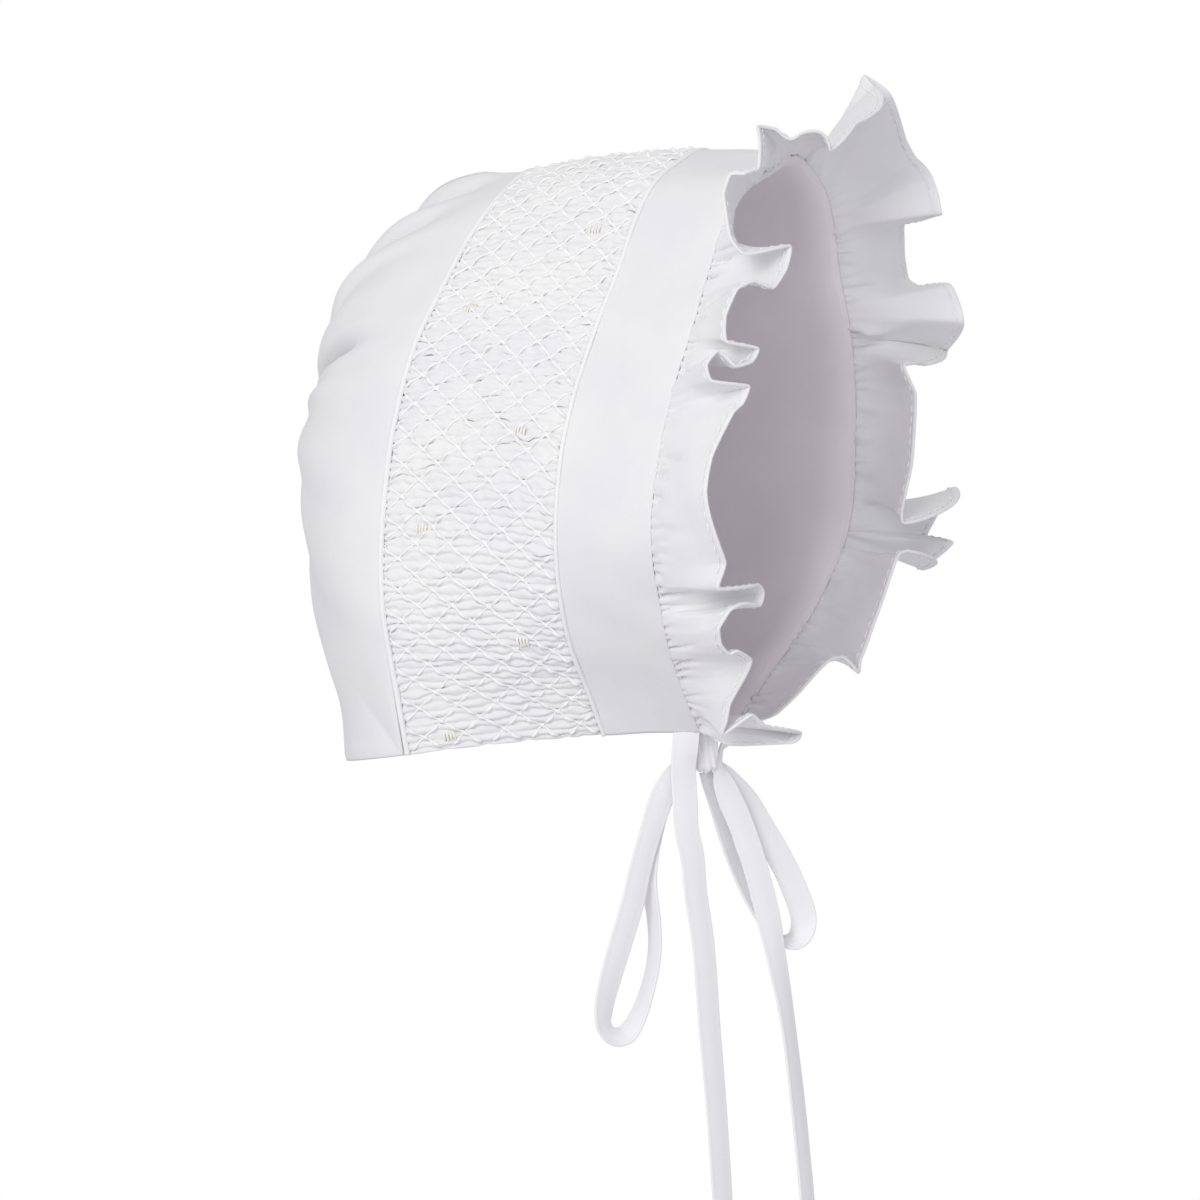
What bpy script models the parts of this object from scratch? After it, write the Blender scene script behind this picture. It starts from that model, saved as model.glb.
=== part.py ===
"""A baby's smocked bonnet, as it hangs when worn: a lined cap of panels joined by piping, with a gathered
ruffle round the face and ribbon ties in a bow under the chin.

The face opening looks along -Y, +Z is up, and the bonnet is symmetric about X = 0 apart from its folds.
The origin is the point of the crown that rests on the head: the inner side of the lining, over the middle
of the smocked panel. Lengths are in metres.
"""

import math

import bmesh
import bpy
import numpy as np

# The size of the cap
HALF_WIDTH = 0.0508
CROWN_TO_NECK = 0.138
NECK_SWEEP = 0.0206
BAND_DEPTH = 0.025
SMOCKING_DEPTH = 0.048
BACK_DEPTH = 0.0550
NAPE_DEPTH = 0.035

# Falls of the arches' ends below those of the seam at the ruffle, upwards where negative
BAND_CROWN_FALL = -0.0012
BACK_CROWN_FALL = 0.0029
BAND_NECK_FALL = 0.0008
BACK_NECK_FALL = 0.0060
NAPE_FALL = 0.0050

# Cloth, cords and the gaps between them
CLOTH = 0.0010
SMOCKING = 0.0013
PIPING = 0.0017
GAP = 0.0003
LINING_EASE = 0.0009
RIBBON_WIDTH = 0.0064
KNOT = (0.0042, 0.0084, 0.0046)
KNOT_SQUARENESS = 0.35

# The ruffle and the folds of the back
RUFFLE_REACH = 0.026
RUFFLE_LEAN = 32.0
HEM_SLACK = 0.55
SWING_EASE = 0.8
SWING_LEAD = 0.5
SLIP_EASE = 1.5
PUCKER = 0.0022
PUCKER_START = 0.25
PUCKER_LEAVING = 0.8
PUCKER_ARRIVING = 0.6
LINING_PUCKER = 0.6
GATHER_RADIUS = 0.0035
GATHER_DROP = 0.45
BACK_FULLNESS = 1.75
NAPE_FULLNESS = 0.9
CENTRE_FULLNESS = 1.66

# One fold of the ruffle stands up beside the crown before it curls forward: its place on the seam and its
# spread, as shares of the way over the crown, its extra lean in degrees and how late it curls
CROWN_FOLD = {"share": 0.535, "spread": 0.020, "lean": 60.0, "lateness": 2.0}

# The arches from crown to neck. Shares of CROWN_TO_NECK (down), HALF_WIDTH (out) and NECK_SWEEP (back), for
# the seam at the ruffle, the piping behind the band and the piping of the back.
ARCH_COLUMNS = ("down", "seam_out", "seam_back", "band_out", "band_back", "back_out", "back_back")
ARCH_ROWS = (
    (0.000, 0.00, 0.00, 0.00, 0.00, 0.00, 0.00),
    (0.025, 0.21, 0.06, 0.22, 0.05, 0.17, 0.03),
    (0.060, 0.40, 0.13, 0.39, 0.11, 0.32, 0.07),
    (0.120, 0.54, 0.20, 0.51, 0.18, 0.49, 0.15),
    (0.200, 0.64, 0.25, 0.62, 0.24, 0.67, 0.23),
    (0.300, 0.78, 0.28, 0.77, 0.33, 0.84, 0.36),
    (0.400, 0.90, 0.36, 0.90, 0.41, 0.93, 0.45),
    (0.500, 0.97, 0.44, 0.98, 0.48, 0.99, 0.50),
    (0.600, 1.00, 0.50, 1.01, 0.52, 1.02, 0.53),
    (0.680, 0.96, 0.55, 0.98, 0.57, 1.03, 0.54),
    (0.760, 0.83, 0.64, 0.90, 0.63, 1.02, 0.53),
    (0.840, 0.66, 0.76, 0.77, 0.69, 0.98, 0.49),
    (0.920, 0.42, 0.91, 0.58, 0.74, 0.94, 0.45),
    (1.000, 0.19, 1.00, 0.42, 0.76, 0.90, 0.41),
)

# The gathers of the back. Each row is one ridge or hollow running from the piping to the centre: its turn
# from straight up in degrees, its half width in degrees, and its rise as a share of PUCKER.
PUCKER_COLUMNS = ("turn", "spread", "rise")
PUCKER_ROWS = (
    (0, 6, 0.3),
    (11, 7, 0.9),
    (26, 8, 1.1),
    (40, 7, 1.0),
    (57, 8, 1.4),
    (68, 6, -1.2),
    (82, 9, 0.3),
    (104, 14, 0.6),
    (130, 14, 0.2),
    (152, 12, 0.4),
    (174, 10, 0.4),
)

# The turns of the ruffle's hem, a row for each, from the neck corner up to the crown. Where its fold starts
# on the seam (down, a share of CROWN_TO_NECK), the hem's swing outwards from straight forward in degrees,
# its slip along the seam towards that side's neck corner and its reach, both as shares of RUFFLE_REACH.
HEM_COLUMNS = ("down", "swing", "slip", "reach")
LEFT_HEM_ROWS = (
    (1.000, 20, 0.08, 0.20),
    (0.996, 24, 0.22, 0.42),
    (0.985, -10, 0.12, 1.00),
    (0.962, 44, 0.18, 0.85),
    (0.925, 36, 0.10, 0.95),
    (0.870, 14, -0.05, 1.00),
    (0.830, 31, -0.09, 1.00),
    (0.777, -6, -0.15, 1.00),
    (0.732, 26, -0.01, 0.95),
    (0.694, 19, -0.05, 1.00),
    (0.620, 28, -0.05, 1.00),
    (0.580, 31, -0.08, 1.00),
    (0.530, 32, -0.02, 1.00),
    (0.468, 25, -0.08, 1.00),
    (0.430, 21, -0.08, 1.00),
    (0.392, 46, 0.06, 1.00),
    (0.343, 21, 0.10, 1.00),
    (0.303, 47, 0.29, 1.00),
    (0.257, 46, 0.24, 1.00),
    (0.215, 24, 0.21, 1.00),
    (0.180, 22, -0.02, 1.00),
    (0.153, 44, 0.41, 1.00),
    (0.117, 52, 0.42, 1.00),
    (0.078, 52, 0.62, 0.92),
    (0.050, 48, 0.88, 0.85),
    (0.036, 34, 1.00, 0.85),
    (0.020, 54, 0.76, 0.85),
)
CROWN_HEM_ROWS = ((0.000, 18, 1.04, 0.62),)
RIGHT_HEM_ROWS = (
    (0.010, -20, -1.00, 0.72),
    (0.030, 32, -0.52, 0.90),
    (0.050, 70, -0.36, 1.02),
    (0.080, 70, -0.13, 1.00),
    (0.100, 56, -0.07, 1.00),
    (0.125, 24, 0.00, 1.00),
    (0.145, 12, -0.06, 1.00),
    (0.168, 72, 0.20, 0.95),
    (0.225, 76, 0.31, 0.95),
    (0.252, 62, 0.34, 1.00),
    (0.270, 42, 0.06, 1.00),
    (0.292, 28, 0.20, 1.05),
    (0.335, 60, 0.52, 1.00),
    (0.350, 12, 0.17, 0.78),
    (0.362, -28, -0.20, 1.00),
    (0.410, -33, -0.13, 1.00),
    (0.475, -31, -0.06, 1.00),
    (0.540, -32, -0.08, 1.00),
    (0.605, -34, 0.22, 1.00),
    (0.625, 50, -0.19, 1.00),
    (0.645, 64, -0.02, 1.00),
    (0.662, 62, 0.10, 0.98),
    (0.678, 44, 0.10, 1.00),
    (0.697, 54, 0.27, 1.00),
    (0.712, -22, -0.09, 1.00),
    (0.730, -31, -0.12, 1.00),
    (0.800, -24, 0.11, 1.00),
    (0.845, -18, 0.17, 1.00),
    (0.876, -16, 0.26, 1.00),
    (0.898, -26, -0.04, 0.95),
    (0.915, -30, -0.18, 0.92),
    (0.945, -34, -0.08, 0.82),
    (0.975, -28, 0.02, 0.55),
    (1.000, 0, 0.00, 0.15),
)

# The bow hangs below the chin in a plane turned about the upright, from its right towards the front
BOW_PLACE = (0.0, -0.0232, -0.1413)
BOW_TURN = -40.0

# The ribbons' routes in millimetres from the bow's middle: to the right in the bow's plane, down, towards
# the front of that plane, then the ribbon's twist in degrees and its width as a share of RIBBON_WIDTH
ROUTE_COLUMNS = ("right", "down", "towards", "twist", "width")
LEFT_TIE = (
    (-7.2, -3.6, 9.3, -18, 1.0),
    (-7.2, -0.5, 8.6, -12, 1.0),
    (-7.1, 4.6, 7.2, 0, 1.0),
    (-6.3, 12.5, 6.2, 0, 1.0),
    (-5.6, 20.2, 5.6, 4, 1.0),
    (-3.9, 26.9, 5.2, 8, 1.0),
    (-3.0, 35.8, 5.0, 12, 1.0),
    (-1.0, 48.5, 5.0, 14, 1.0),
    (0.6, 68.4, 5.0, 16, 1.0),
    (2.5, 89.3, 5.0, 20, 1.0),
    (3.9, 108.5, 5.0, 22, 1.0),
    (4.3, 114.5, 5.0, 22, 1.0),
)
RIGHT_TIE = (
    (10.4, -2.6, -5.6, 20, 0.9),
    (7.8, -1.2, -3.2, 35, 0.75),
    (5.6, 0.4, -0.4, 55, 0.55),
    (4.4, 2.8, 1.4, 55, 0.5),
    (4.2, 5.4, 2.2, 30, 0.6),
    (5.0, 8.6, 2.6, 8, 0.85),
    (7.0, 13.2, 2.6, 0, 1.0),
    (10.0, 19.6, 2.4, 0, 1.0),
    (13.4, 28.8, 2.2, 0, 1.0),
    (17.2, 42.5, 2.2, 5, 1.0),
    (19.4, 52.8, 2.2, 20, 0.95),
    (22.4, 68.4, 2.2, 38, 1.0),
    (25.2, 89.3, 2.2, 38, 1.0),
    (27.3, 108.5, 2.2, 38, 1.0),
    (27.9, 114.5, 2.2, 38, 1.0),
)
LEFT_LOOP = (
    (-2.2, 2.0, 3.8, 0, 0.40),
    (-5.5, 3.6, 4.1, 0, 0.55),
    (-9.0, 6.9, 4.1, 0, 0.80),
    (-12.0, 13.0, 4.0, 5, 1.00),
    (-14.6, 20.9, 3.8, 10, 0.95),
    (-16.9, 28.8, 3.6, 10, 0.95),
    (-18.8, 37.2, 3.3, 10, 1.00),
    (-21.5, 46.1, 3.0, 10, 1.00),
    (-24.0, 54.5, 2.6, 15, 1.00),
    (-25.6, 61.7, 2.0, 25, 1.00),
    (-25.4, 67.2, 1.2, 38, 1.00),
    (-22.6, 70.2, 0.4, 50, 1.00),
    (-18.9, 69.8, -0.2, 62, 1.00),
    (-15.7, 65.3, -0.5, 74, 1.00),
    (-13.2, 58.6, -0.6, 82, 1.00),
    (-11.6, 50.9, -0.6, 84, 1.00),
    (-11.7, 42.5, -0.6, 82, 1.00),
    (-13.0, 34.1, -0.6, 76, 1.00),
    (-13.3, 26.9, -0.5, 62, 1.00),
    (-11.8, 18.5, -0.2, 45, 0.90),
    (-8.8, 10.6, 0.2, 20, 0.70),
    (-5.2, 5.6, 0.8, 5, 0.50),
    (-2.4, 3.6, 1.6, 0, 0.40),
)
RIGHT_LOOP = (
    (0.9, 5.9, 0.6, 0, 0.45),
    (2.3, 8.6, -0.3, 15, 0.65),
    (4.5, 13.4, -1.4, 35, 0.90),
    (8.1, 24.0, -2.6, 45, 1.00),
    (12.0, 32.9, -3.6, 48, 1.00),
    (15.1, 39.4, -4.0, 55, 1.00),
    (19.0, 46.0, -4.0, 66, 1.00),
    (23.0, 49.4, -3.6, 68, 1.00),
    (26.6, 49.4, -3.0, 60, 1.00),
    (28.4, 46.4, -2.4, 40, 1.00),
    (28.0, 42.0, -1.9, 20, 1.00),
    (24.7, 34.1, -1.5, 8, 1.00),
    (21.1, 27.4, -1.3, 4, 1.00),
    (17.0, 20.9, -1.1, 2, 1.00),
    (12.6, 13.9, -0.9, 0, 0.95),
    (8.0, 8.0, -0.7, 0, 0.65),
    (4.6, 4.9, -0.5, 0, 0.42),
)
ROUTES = (("left_tie", LEFT_TIE), ("right_tie", RIGHT_TIE), ("left_loop", LEFT_LOOP), ("right_loop", RIGHT_LOOP))
KNOT_PLACE = (0.2, 0.9, 3.0)

# How finely the pieces are cut into faces
ARCH_STEPS = 44
BAND_STEPS = 2
SMOCKING_STEPS = 3
BACK_RINGS = 8
NAPE_STEPS = 14
LINING_STEPS = 4
LINING_RINGS = 5
RUFFLE_STEPS = 3
RUFFLE_ROWS = 4
RIBBON_STEPS = 3
KNOT_STEPS = (12, 8)
CURVE_SAMPLES = 16
SLOPE_STEP = 0.004


def columns(names, rows):
    """The rows of a table as one array for each named column."""
    return dict(zip(names, np.array(rows, float).T))


def spline(points, samples=CURVE_SAMPLES, slack=1.0):
    """A cardinal curve through the points, with the given number of samples in each stretch.

    It passes each point along the line between its neighbours, and turns more sharply with less slack."""
    points = np.asarray(points, float)
    padded = np.vstack([2 * points[0] - points[1], points, 2 * points[-1] - points[-2]])
    a, b, c, d = padded[:-3, None], padded[1:-2, None], padded[2:-1, None], padded[3:, None]
    t = np.linspace(0.0, 1.0, samples, endpoint=False)[None, :, None]
    leaving = slack * (c - a) / 2
    arriving = slack * (d - b) / 2
    curve = (
        (2 * t**3 - 3 * t**2 + 1) * b
        + (t**3 - 2 * t**2 + t) * leaving
        + (3 * t**2 - 2 * t**3) * c
        + (t**3 - t**2) * arriving
    )
    return np.vstack([curve.reshape(-1, points.shape[1]), points[-1]])


def lengths_along(curve):
    """The distance of each point of a curve from its start."""
    steps = np.linalg.norm(np.diff(curve, axis=0), axis=1)
    return np.concatenate([[0.0], np.cumsum(steps)])


def at_shares(curve, shares):
    """The points of a curve at the given shares of its length."""
    along = lengths_along(curve)
    return np.stack([np.interp(shares * along[-1], along, axis) for axis in curve.T], axis=1)


def unit(vectors):
    return vectors / np.linalg.norm(vectors, axis=-1, keepdims=True)


def outer_stack():
    """From the origin up to the inner face of the outer panels: the lining and the looseness above it."""
    return CLOTH + LINING_EASE


def arch(name, start, crown_fall, neck_fall):
    """One arch of the cap from the left neck corner over the crown to the right one."""
    table = columns(ARCH_COLUMNS, ARCH_ROWS)
    out = HALF_WIDTH * table[name + "_out"]
    y = start + NECK_SWEEP * table[name + "_back"]
    top = outer_stack() - crown_fall
    z = top - table["down"] * (CROWN_TO_NECK + neck_fall - crown_fall)
    left = np.stack([-out, y, z], axis=1)[::-1]
    right = np.stack([out, y, z], axis=1)[1:]
    return spline(np.vstack([left, right]))


def cap_line(depth, shares):
    """Points of the cap at one depth behind the ruffle's seam, at shares of the way over the crown."""
    front = -(BAND_DEPTH + SMOCKING_DEPTH / 2)
    whole = BAND_DEPTH + SMOCKING_DEPTH
    seam = at_shares(arch("seam", front, 0.0, 0.0), shares)
    band = at_shares(arch("band", front + BAND_DEPTH, BAND_CROWN_FALL, BAND_NECK_FALL), shares)
    back = at_shares(arch("back", front + whole, BACK_CROWN_FALL, BACK_NECK_FALL), shares)
    a, b, c = 0.0, BAND_DEPTH, whole
    return (
        seam * (depth - b) * (depth - c) / ((a - b) * (a - c))
        + band * (depth - a) * (depth - c) / ((b - a) * (b - c))
        + back * (depth - a) * (depth - b) / ((c - a) * (c - b))
    )


def cap_sheet(first, last, steps, along=ARCH_STEPS):
    """A grid of points of the cap between two depths."""
    shares = np.linspace(0.0, 1.0, along + 1)
    return np.stack([cap_line(depth, shares) for depth in np.linspace(first, last, steps + 1)])


def back_rim(depth, along=ARCH_STEPS, nape=NAPE_STEPS):
    """The closed rim of the back: over the crown from left to right, then along the nape to the left again.

    Returns the points and the outward direction of the cloth at each."""
    over = cap_line(depth, np.linspace(0.0, 1.0, along + 1))
    tangent = np.gradient(over, axis=0)
    facing = unit(np.stack([-tangent[:, 2], np.zeros(len(over)), tangent[:, 0]], axis=1))
    turn = np.linspace(0.0, math.pi, nape + 1)[1:-1]
    corner = over[-1]
    under = np.stack(
        [
            corner[0] * np.cos(turn),
            corner[1] + NAPE_DEPTH * np.sin(turn),
            corner[2] - NAPE_FALL * np.sin(turn),
        ],
        axis=1,
    )
    flat = np.stack([NAPE_DEPTH * np.cos(turn), corner[0] * np.sin(turn), 0 * turn], axis=1)
    return np.vstack([over, under]), np.vstack([facing, unit(flat)])


def pucker_height(turn):
    """The gathers' height at a turn from straight up, as a sum of cosine bumps."""
    table = columns(PUCKER_COLUMNS, PUCKER_ROWS)
    away = (np.abs(turn)[..., None] - table["turn"]) / table["spread"]
    bump = np.where(np.abs(away) < 1.0, 0.5 + 0.5 * np.cos(math.pi * np.clip(away, -1, 1)), 0.0)
    return PUCKER * (bump * table["rise"]).sum(axis=-1)


def back_sheet(depth, rings, height=1.0):
    """Rings of points from the rim of the back in to its gathered centre.

    Each spoke is a cubic that leaves the rim along the cloth and arrives flat at the centre, and the
    gathers rise along it, from nothing at the rim and the centre."""
    rim, facing = back_rim(depth)
    crown = rim[ARCH_STEPS // 2]
    neck = rim[0]
    centre = np.array([0.0, crown[1] + BACK_DEPTH, crown[2] + GATHER_DROP * (neck[2] - crown[2])])
    inward = centre - rim
    leaving = inward - facing * (inward * facing).sum(axis=1, keepdims=True)
    arriving = inward * np.array([1.0, 0.0, 1.0])
    end = centre - GATHER_RADIUS * unit(arriving)
    below = np.clip(unit(inward)[:, 2:], 0.0, 1.0)
    fullness = BACK_FULLNESS + (NAPE_FULLNESS - BACK_FULLNESS) * below
    r = np.linspace(0.0, 1.0, rings + 1)[:, None, None]
    sheet = (
        (2 * r**3 - 3 * r**2 + 1) * rim
        + (r**3 - 2 * r**2 + r) * fullness * leaving
        + (3 * r**2 - 2 * r**3) * end
        + (r**3 - r**2) * CENTRE_FULLNESS * arriving
    )
    across = np.gradient(sheet, axis=0)
    around = (np.roll(sheet, -1, axis=1) - np.roll(sheet, 1, axis=1)) / 2
    outward = unit(np.cross(around, across))
    turn = np.degrees(np.arctan2(-inward[:, 0], -inward[:, 2]))
    swell = np.clip(r / PUCKER_START, 0.0, 1.0) ** PUCKER_LEAVING * (1.0 - r) ** PUCKER_ARRIVING
    return sheet + outward * (height * swell * pucker_height(turn)[None, :, None])


def seam_share(down, side):
    """Where a fold starts on the seam, as a share of the way over the crown from the left neck corner."""
    line = arch("seam", 0.0, 0.0, 0.0)
    along = lengths_along(line) / lengths_along(line)[-1]
    half = len(line) // 2
    drop = (line[half, 2] - line[:, 2]) / CROWN_TO_NECK
    left = np.interp(down, drop[: half + 1][::-1], along[: half + 1][::-1])
    return left if side < 0 else 1.0 - left


def ruffle_hem():
    """The hem's turns over the whole seam, as rows of (share, swing, slip, reach), slip towards the right."""
    turns = []
    for side, rows in ((-1, LEFT_HEM_ROWS), (-1, CROWN_HEM_ROWS), (1, RIGHT_HEM_ROWS)):
        hem = columns(HEM_COLUMNS, rows)
        share = seam_share(hem["down"], side)
        turns.append(np.stack([share, np.radians(hem["swing"]), side * hem["slip"], hem["reach"]], axis=1))
    return np.vstack(turns)


def ruffle_sheet(steps, rows):
    """The ruffle from its seam to its hem, with the given steps between two turns of the hem.

    A point leaves the seam at the mean lean and swings to its own fold by the time it reaches the hem."""
    share, swing, slip, reach = spline(ruffle_hem(), steps, HEM_SLACK).T
    share = np.clip(np.maximum.accumulate(share), 0.0, 1.0)
    seam = cap_line(-(GAP + CLOTH / 2), share)
    before = cap_line(0.0, np.clip(share - SLOPE_STEP, 0.0, 1.0))
    after = cap_line(0.0, np.clip(share + SLOPE_STEP, 0.0, 1.0))
    tangent = unit(after - before)
    forward = np.array([0.0, -1.0, 0.0])
    outward = np.cross(forward, tangent)
    outward[:, 2] = np.maximum(outward[:, 2], 0.0)
    outward = unit(outward)
    seam = seam + outward * CLOTH / 2
    standing = np.exp(-(((share - CROWN_FOLD["share"]) / CROWN_FOLD["spread"]) ** 2))
    lean = np.radians(RUFFLE_LEAN + CROWN_FOLD["lean"] * standing)
    sheet = []
    for r in np.linspace(0.0, 1.0, rows + 1):
        swung = r**SWING_EASE * (1.0 + SWING_LEAD - SWING_LEAD * r)
        turned = (lean + (swing - lean) * swung ** (1.0 + CROWN_FOLD["lateness"] * standing))[:, None]
        gone = (RUFFLE_REACH * r * reach)[:, None]
        slid = (RUFFLE_REACH * slip * r**SLIP_EASE)[:, None]
        sheet.append(seam + gone * (np.cos(turned) * forward + np.sin(turned) * outward) + slid * tangent)
    return np.stack(sheet)


def material(name, colour, roughness):
    """A cloth finish for the solids."""
    made = bpy.data.materials.new(name)
    made.use_nodes = True
    shader = made.node_tree.nodes["Principled BSDF"]
    shader.inputs["Base Color"].default_value = (*colour, 1.0)
    shader.inputs["Roughness"].default_value = roughness
    shader.inputs["Metallic"].default_value = 0.0
    made.diffuse_color = (*colour, 1.0)
    return made


def grid_faces(rows, points, first, closed):
    """The quads of a grid whose vertices start at an index."""
    index = first + np.arange(rows * points).reshape(rows, points)
    if closed:
        index = np.hstack([index, index[:, :1]])
    a, b, c, d = index[:-1, :-1], index[:-1, 1:], index[1:, 1:], index[1:, :-1]
    return np.stack([a, b, c, d], axis=-1).reshape(-1, 4).tolist()


def surface(name, sheets, finish, lift, centre=False):
    """An open surface through the grids, moved out along its normals by the lift.

    Each sheet is a grid and whether its rows are closed rings. The last ring can be closed by a fan."""
    vertices = []
    faces = []
    for grid, closed in sheets:
        faces += grid_faces(grid.shape[0], grid.shape[1], len(vertices), closed)
        vertices += grid.reshape(-1, 3).tolist()
        if centre and closed:
            last = len(vertices) - grid.shape[1]
            vertices.append(grid[-1].mean(axis=0).tolist())
            hub = len(vertices) - 1
            ring = list(range(last, hub))
            faces += [(a, b, hub) for a, b in zip(ring, ring[1:] + ring[:1])]
    mesh = bpy.data.meshes.new(name)
    mesh.from_pydata(vertices, [], faces)
    work = bmesh.new()
    work.from_mesh(mesh)
    bmesh.ops.remove_doubles(work, verts=work.verts, dist=1e-6)
    bmesh.ops.recalc_face_normals(work, faces=work.faces)
    work.normal_update()
    if lift:
        moved = [(vertex, vertex.co + vertex.normal * lift) for vertex in work.verts]
        for vertex, place in moved:
            vertex.co = place
    work.to_mesh(mesh)
    work.free()
    mesh.materials.append(finish)
    mesh.shade_smooth()
    made = bpy.data.objects.new(name, mesh)
    bpy.data.collections["smocked_bonnet"].objects.link(made)
    return made


def cloth(name, sheets, finish, lift=0.0, wall=CLOTH, offset=1.0, centre=False):
    """A wall of cloth on the surface through the grids."""
    made = surface(name, sheets, finish, lift, centre)
    solid = made.modifiers.new("wall", "SOLIDIFY")
    solid.thickness = wall
    solid.offset = offset
    solid.use_even_offset = True
    return made


def cord(name, path, diameter, finish):
    """A round cord along a path."""
    curve = bpy.data.curves.new(name, "CURVE")
    curve.dimensions = "3D"
    curve.bevel_depth = diameter / 2
    curve.bevel_resolution = 1
    curve.use_fill_caps = True
    line = curve.splines.new("POLY")
    line.points.add(len(path) - 1)
    for point, place in zip(line.points, path):
        point.co = (*place, 1.0)
    curve.materials.append(finish)
    made = bpy.data.objects.new(name, curve)
    bpy.data.collections["smocked_bonnet"].objects.link(made)
    return made


def piping_line(depth):
    """The middle of a piping, standing on the outer face of the lining's gap."""
    shares = np.linspace(0.0, 1.0, ARCH_STEPS + 1)
    line = cap_line(depth, shares)
    along = np.gradient(line, axis=0)
    behind = cap_line(depth + CLOTH, shares) - line
    outward = unit(np.cross(along, behind))
    return line + outward * PIPING / 2


def bow_point(right, down, towards):
    """A point of the bow in the bonnet's frame, from its places in the bow's plane in millimetres."""
    turn = math.radians(BOW_TURN)
    across = np.array([math.cos(turn), math.sin(turn), 0.0])
    front = np.array([math.sin(turn), -math.cos(turn), 0.0])
    up = np.array([0.0, 0.0, 1.0])
    offset = np.multiply.outer(right, across) - np.multiply.outer(down, up) + np.multiply.outer(towards, front)
    return np.array(BOW_PLACE) + offset / 1000.0


def ribbon_sheet(route):
    """The two edges of a ribbon along its route, as a grid with two points across."""
    rows = columns(ROUTE_COLUMNS, spline(route, RIBBON_STEPS))
    path = bow_point(rows["right"], rows["down"], rows["towards"])
    front = unit(bow_point(0.0, 0.0, 1.0) - bow_point(0.0, 0.0, 0.0))
    ahead = unit(np.gradient(path, axis=0))
    side = unit(np.cross(ahead, front))
    raised = np.cross(side, ahead)
    twist = np.radians(rows["twist"])[:, None]
    width = RIBBON_WIDTH * rows["width"][:, None]
    across = (np.cos(twist) * side + np.sin(twist) * raised) * width / 2
    return np.stack([path - across, path + across])


def bow_knot(finish):
    """The wrap that holds the bow: a rounded block with its long side upright."""
    work = bmesh.new()
    bmesh.ops.create_uvsphere(work, u_segments=KNOT_STEPS[0], v_segments=KNOT_STEPS[1], radius=0.5)
    mesh = bpy.data.meshes.new("bow_knot")
    for vertex in work.verts:
        swell = 0.5 / max(abs(vertex.co.x), abs(vertex.co.y), abs(vertex.co.z))
        vertex.co = vertex.co.lerp(vertex.co * swell, KNOT_SQUARENESS)
    work.to_mesh(mesh)
    work.free()
    mesh.materials.append(finish)
    mesh.shade_smooth()
    knot = bpy.data.objects.new("bow_knot", mesh)
    knot.location = bow_point(*KNOT_PLACE)
    knot.rotation_euler = (0.0, 0.0, math.radians(BOW_TURN))
    knot.scale = (KNOT[0], KNOT[2], KNOT[1])
    bpy.data.collections["smocked_bonnet"].objects.link(knot)


def main():
    for old in list(bpy.data.objects):
        bpy.data.objects.remove(old)
    bpy.context.scene.collection.children.link(bpy.data.collections.new("smocked_bonnet"))
    cotton = material("white_cotton", (0.86, 0.86, 0.87), 0.85)
    satin = material("white_ribbon", (0.88, 0.88, 0.90), 0.55)
    whole = BAND_DEPTH + SMOCKING_DEPTH
    side = PIPING / 2 + GAP
    cloth("front_band", [(cap_sheet(0.0, BAND_DEPTH - side, BAND_STEPS), False)], cotton)
    cloth(
        "smocked_panel",
        [(cap_sheet(BAND_DEPTH + side, whole - side, SMOCKING_STEPS), False)],
        cotton,
        wall=SMOCKING,
    )
    cloth("back_panel", [(back_sheet(whole + side, BACK_RINGS), True)], cotton, centre=True)
    cord("front_piping", piping_line(BAND_DEPTH), PIPING, cotton)
    cord("back_piping", piping_line(whole), PIPING, cotton)
    inside = [(cap_sheet(0.0, whole, LINING_STEPS), False), (back_sheet(whole, LINING_RINGS, LINING_PUCKER), True)]
    cloth("lining", inside, cotton, lift=-outer_stack(), centre=True)
    cloth("ruffle", [(ruffle_sheet(RUFFLE_STEPS, RUFFLE_ROWS), False)], cotton, offset=0.0)
    for name, route in ROUTES:
        cloth(name, [(ribbon_sheet(route), False)], satin, offset=0.0)
    bow_knot(satin)


main()
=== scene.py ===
"""The looks of a baby's smocked bonnet: cotton panels joined by piping, a smocked panel of real pleats and
threads, a gathered ruffle with a stitched hem, a lining, and ribbon ties in a bow.

The face opening looks along -Y and +Z is up. Left is -X, as one looks into the face opening, and so the
wearer's right. Lengths are in metres unless a name or a comment says so. A place on the cap is a depth
behind the ruffle's seam and a share of the way over the crown, from the left neck corner to the right.
"""

import math

import bpy
import numpy as np
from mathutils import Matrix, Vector


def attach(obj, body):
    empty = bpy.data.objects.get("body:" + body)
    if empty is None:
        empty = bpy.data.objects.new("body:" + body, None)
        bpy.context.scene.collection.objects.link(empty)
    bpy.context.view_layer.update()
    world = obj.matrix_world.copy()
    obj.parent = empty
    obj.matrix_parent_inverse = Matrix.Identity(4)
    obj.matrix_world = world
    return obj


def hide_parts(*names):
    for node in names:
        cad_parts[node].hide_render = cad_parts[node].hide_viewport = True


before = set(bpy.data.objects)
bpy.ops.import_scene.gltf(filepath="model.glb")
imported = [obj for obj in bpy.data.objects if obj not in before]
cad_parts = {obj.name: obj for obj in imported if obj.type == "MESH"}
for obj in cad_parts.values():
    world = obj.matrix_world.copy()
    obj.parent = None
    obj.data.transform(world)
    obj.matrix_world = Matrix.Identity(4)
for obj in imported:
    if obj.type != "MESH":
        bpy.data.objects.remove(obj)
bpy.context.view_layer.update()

# The camera looks from the front and the left, a little above level
CAMERA_AZIMUTH = math.radians(-60.0)
CAMERA_ELEVATION = math.radians(3.5)
CAMERA_DISTANCE = 1.1
CAMERA_TARGET = (-0.0290, -0.0117, -0.1042)
SEEN_ACROSS = 0.288
SENSOR_MM = 36.0

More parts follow.
